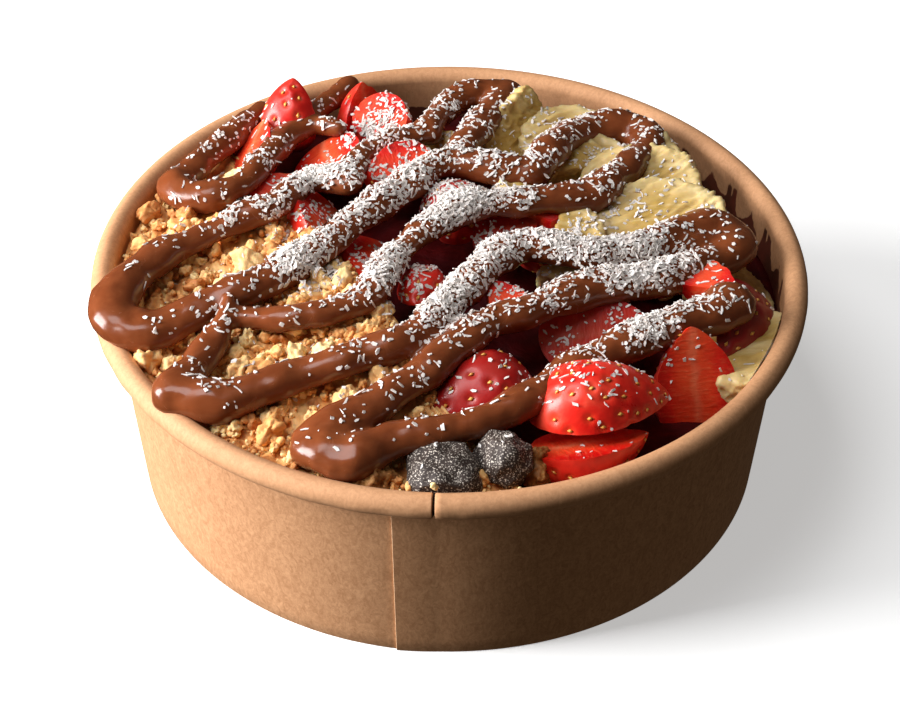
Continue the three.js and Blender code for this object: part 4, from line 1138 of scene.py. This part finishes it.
def coconut(pieces):
    """Small chips and shreds dropped on what lies below them, thickest in the middle."""
    random = np.random.default_rng(5)
    vertices, triangles, holds = [], [], []
    base = 0
    for piece in pieces:
        hold = next((value for word, value in COCONUT_HOLD.items() if piece.name.startswith(word)), 0.3)
        mesh = piece.data
        mesh.calc_loop_triangles()
        vertices.extend([v.co.copy() for v in mesh.vertices])
        corners = np.zeros(len(mesh.loop_triangles) * 3, np.int32)
        mesh.loop_triangles.foreach_get("vertices", corners)
        triangles.extend((corners.reshape(-1, 3) + base).tolist())
        base += len(mesh.vertices)
        holds.extend([hold] * len(mesh.loop_triangles))
    tree = BVHTree.FromPolygons(vertices, triangles)
    clumps = [(random.uniform(-50, 60), random.uniform(-50, 55), random.uniform(2.5, 7))
              for _ in range(CLUMPS)]
    chips, shreds = ([], []), ([], [])
    chip_count = shred_count = 0
    pile = {}
    for _ in range(DROPS):
        if chip_count >= CHIP_TRIANGLES:
            break
        if random.random() < 0.5:
            cx, cy, spread = clumps[int(random.integers(len(clumps)))]
            x, y = cx + spread * random.standard_normal(), cy + spread * random.standard_normal()
        else:
            x, y = random.uniform(-68, 68), random.uniform(-68, 68)
        if np.hypot(x, y) > COCONUT_REACH or random.random() > coconut_share(x, y):
            continue
        cell = (int(x // PILE_CELL), int(y // PILE_CELL))
        layer = pile.get(cell, 0)
        if layer >= PILE_LAYERS:
            continue
        lean = 0.45 * random.standard_normal(2)
        start = Vector((x - 28 * lean[0], y - 28 * lean[1], DROP_HEIGHT)) * MM
        hit, normal, face, _ = tree.ray_cast(start, Vector((lean[0], lean[1], -1)).normalized())
        if hit is None or hit.z < COCONUT_LOWEST * MM or normal.z < 0.05 or random.random() > holds[face]:
            continue
        pile[cell] = layer + 1
        up = np.array(normal) + random.standard_normal(3) * (0.25 + 0.12 * layer)
        up /= np.linalg.norm(up)
        way = np.cross(up, random.standard_normal(3))
        way /= np.linalg.norm(way)
        side = np.cross(up, way)
        spot = np.array(hit) / MM + up * (0.06 + 0.15 * layer)
        if random.random() < SHRED_SHARE and shred_count < SHRED_TRIANGLES:
            shred_count += shred(*shreds, random, spot, way, side, up)
        else:
            chip_count += chip(*chips, random, spot, way, side, up)
    for name, (points, faces) in (("coconut_flakes", chips), ("coconut_shreds", shreds)):
        finish_piece(mesh_object(name, points, faces, [COCONUT], smooth=False), "coconut")


# Where the coconut lies thickest: place and reach
DRIFTS = [(6, -10, 8), (-16, 43, 6), (-28, 19, 5), (-31, -9, 6), (-4, 9, 6), (23, -8, 6),
          (35, -9, 7), (1, -22, 6), (-13, -17, 5), (38, -29, 4)]


def coconut_share(x, y):
    wide = math.exp(-((x - 1) / 44) ** 2 - ((y - 5 + 0.2 * x) / 32) ** 2)
    patchy = 0.5 + 0.5 * soft_noise(x * 0.16, y * 0.16, 3)
    drift = max(math.exp(-((x - a) ** 2 + (y - b) ** 2) / reach ** 2) for a, b, reach in DRIFTS)
    return 0.022 + 0.95 * max(0.8 * wide * min(1, max(0.05, 3.8 * patchy - 1.6)), 0.85 * drift)


# Stage and camera

def stage():
    work = bmesh.new()
    bmesh.ops.create_grid(work, x_segments=1, y_segments=1, size=3.0)
    mesh = bpy.data.meshes.new("floor")
    work.to_mesh(mesh)
    work.free()
    floor = new_object("floor", mesh)
    mat = Shader("floor_white", 0.9, 0.1, Emission_Strength=0.45, Emission_Color=(1, 1, 1, 1))
    mat.colour(mat.grey(mat.noise(4, 2), 0.86, 0.88, (0.3, 0.7)))
    mesh.materials.append(mat.material)
    floor.visible_diffuse = False
    floor.visible_glossy = False
    world = bpy.data.worlds.new("studio")
    world.use_nodes = True
    colour, strength = world.node_tree.nodes["Background"].inputs[:2]
    colour.default_value = (1, 0.87, 0.68, 1)
    strength.default_value = 0.065
    bpy.context.scene.world = world
    bpy.context.scene.view_settings.view_transform = "Standard"


def area_light(name, place, target, size, power, colour=(1, 1, 1)):
    data = bpy.data.lights.new(name, "AREA")
    data.shape = "RECTANGLE"
    data.size, data.size_y = size
    data.energy = power
    data.color = colour
    lamp = new_object(name, data)
    lamp.location = place
    lamp.rotation_euler = (Vector(target) - Vector(place)).to_track_quat("-Z", "Y").to_euler()


# Camera as fitted to the photograph, in metres
CAMERA_PLACE = (0, -0.3899, 0.3484)
CAMERA_AIM = (0.00018, -0.00474, 0.0242)
CAMERA_ROLL = math.radians(0.2)
LENS, SENSOR_WIDTH = 93.74, 36


def camera():
    data = bpy.data.cameras.new("camera")
    data.lens = LENS
    data.sensor_width = SENSOR_WIDTH
    data.clip_start, data.clip_end = 0.01, 20
    view = new_object("camera", data)
    turn = (Vector(CAMERA_AIM) - Vector(CAMERA_PLACE)).to_track_quat("-Z", "Y").to_matrix().to_4x4()
    view.matrix_world = Matrix.Translation(CAMERA_PLACE) @ turn @ Matrix.Rotation(CAMERA_ROLL, 4, "Z")
    bpy.context.scene.camera = view


camera()
stage()
area_light("key", (-0.9, -0.1, 0.36), (0, 0, 0.04), (0.5, 0.7), 26)
area_light("top", (-0.36, -0.08, 0.94), (0, 0, 0.05), (0.5, 0.5), 4.8, (0.97, 0.98, 1.0))

bowl()
carriers = [acai()]
for table, make in ((BERRIES, berry), (BANANAS, banana), (CHUNKS, chunk), (NUTS, nut)):
    carriers += [make(row, i) for i, row in enumerate(table)]
carriers.append(sauce("chocolate_ropes_left", SAUCE_LEFT, "chocolate_drizzle_1", 3))
carriers.append(sauce("chocolate_ropes", SAUCE_MAIN, "chocolate_drizzle_2", 5))
granola()
carriers += [bpy.data.objects[name] for name in ("granola_bed", "granola_clusters")]
coconut(carriers)
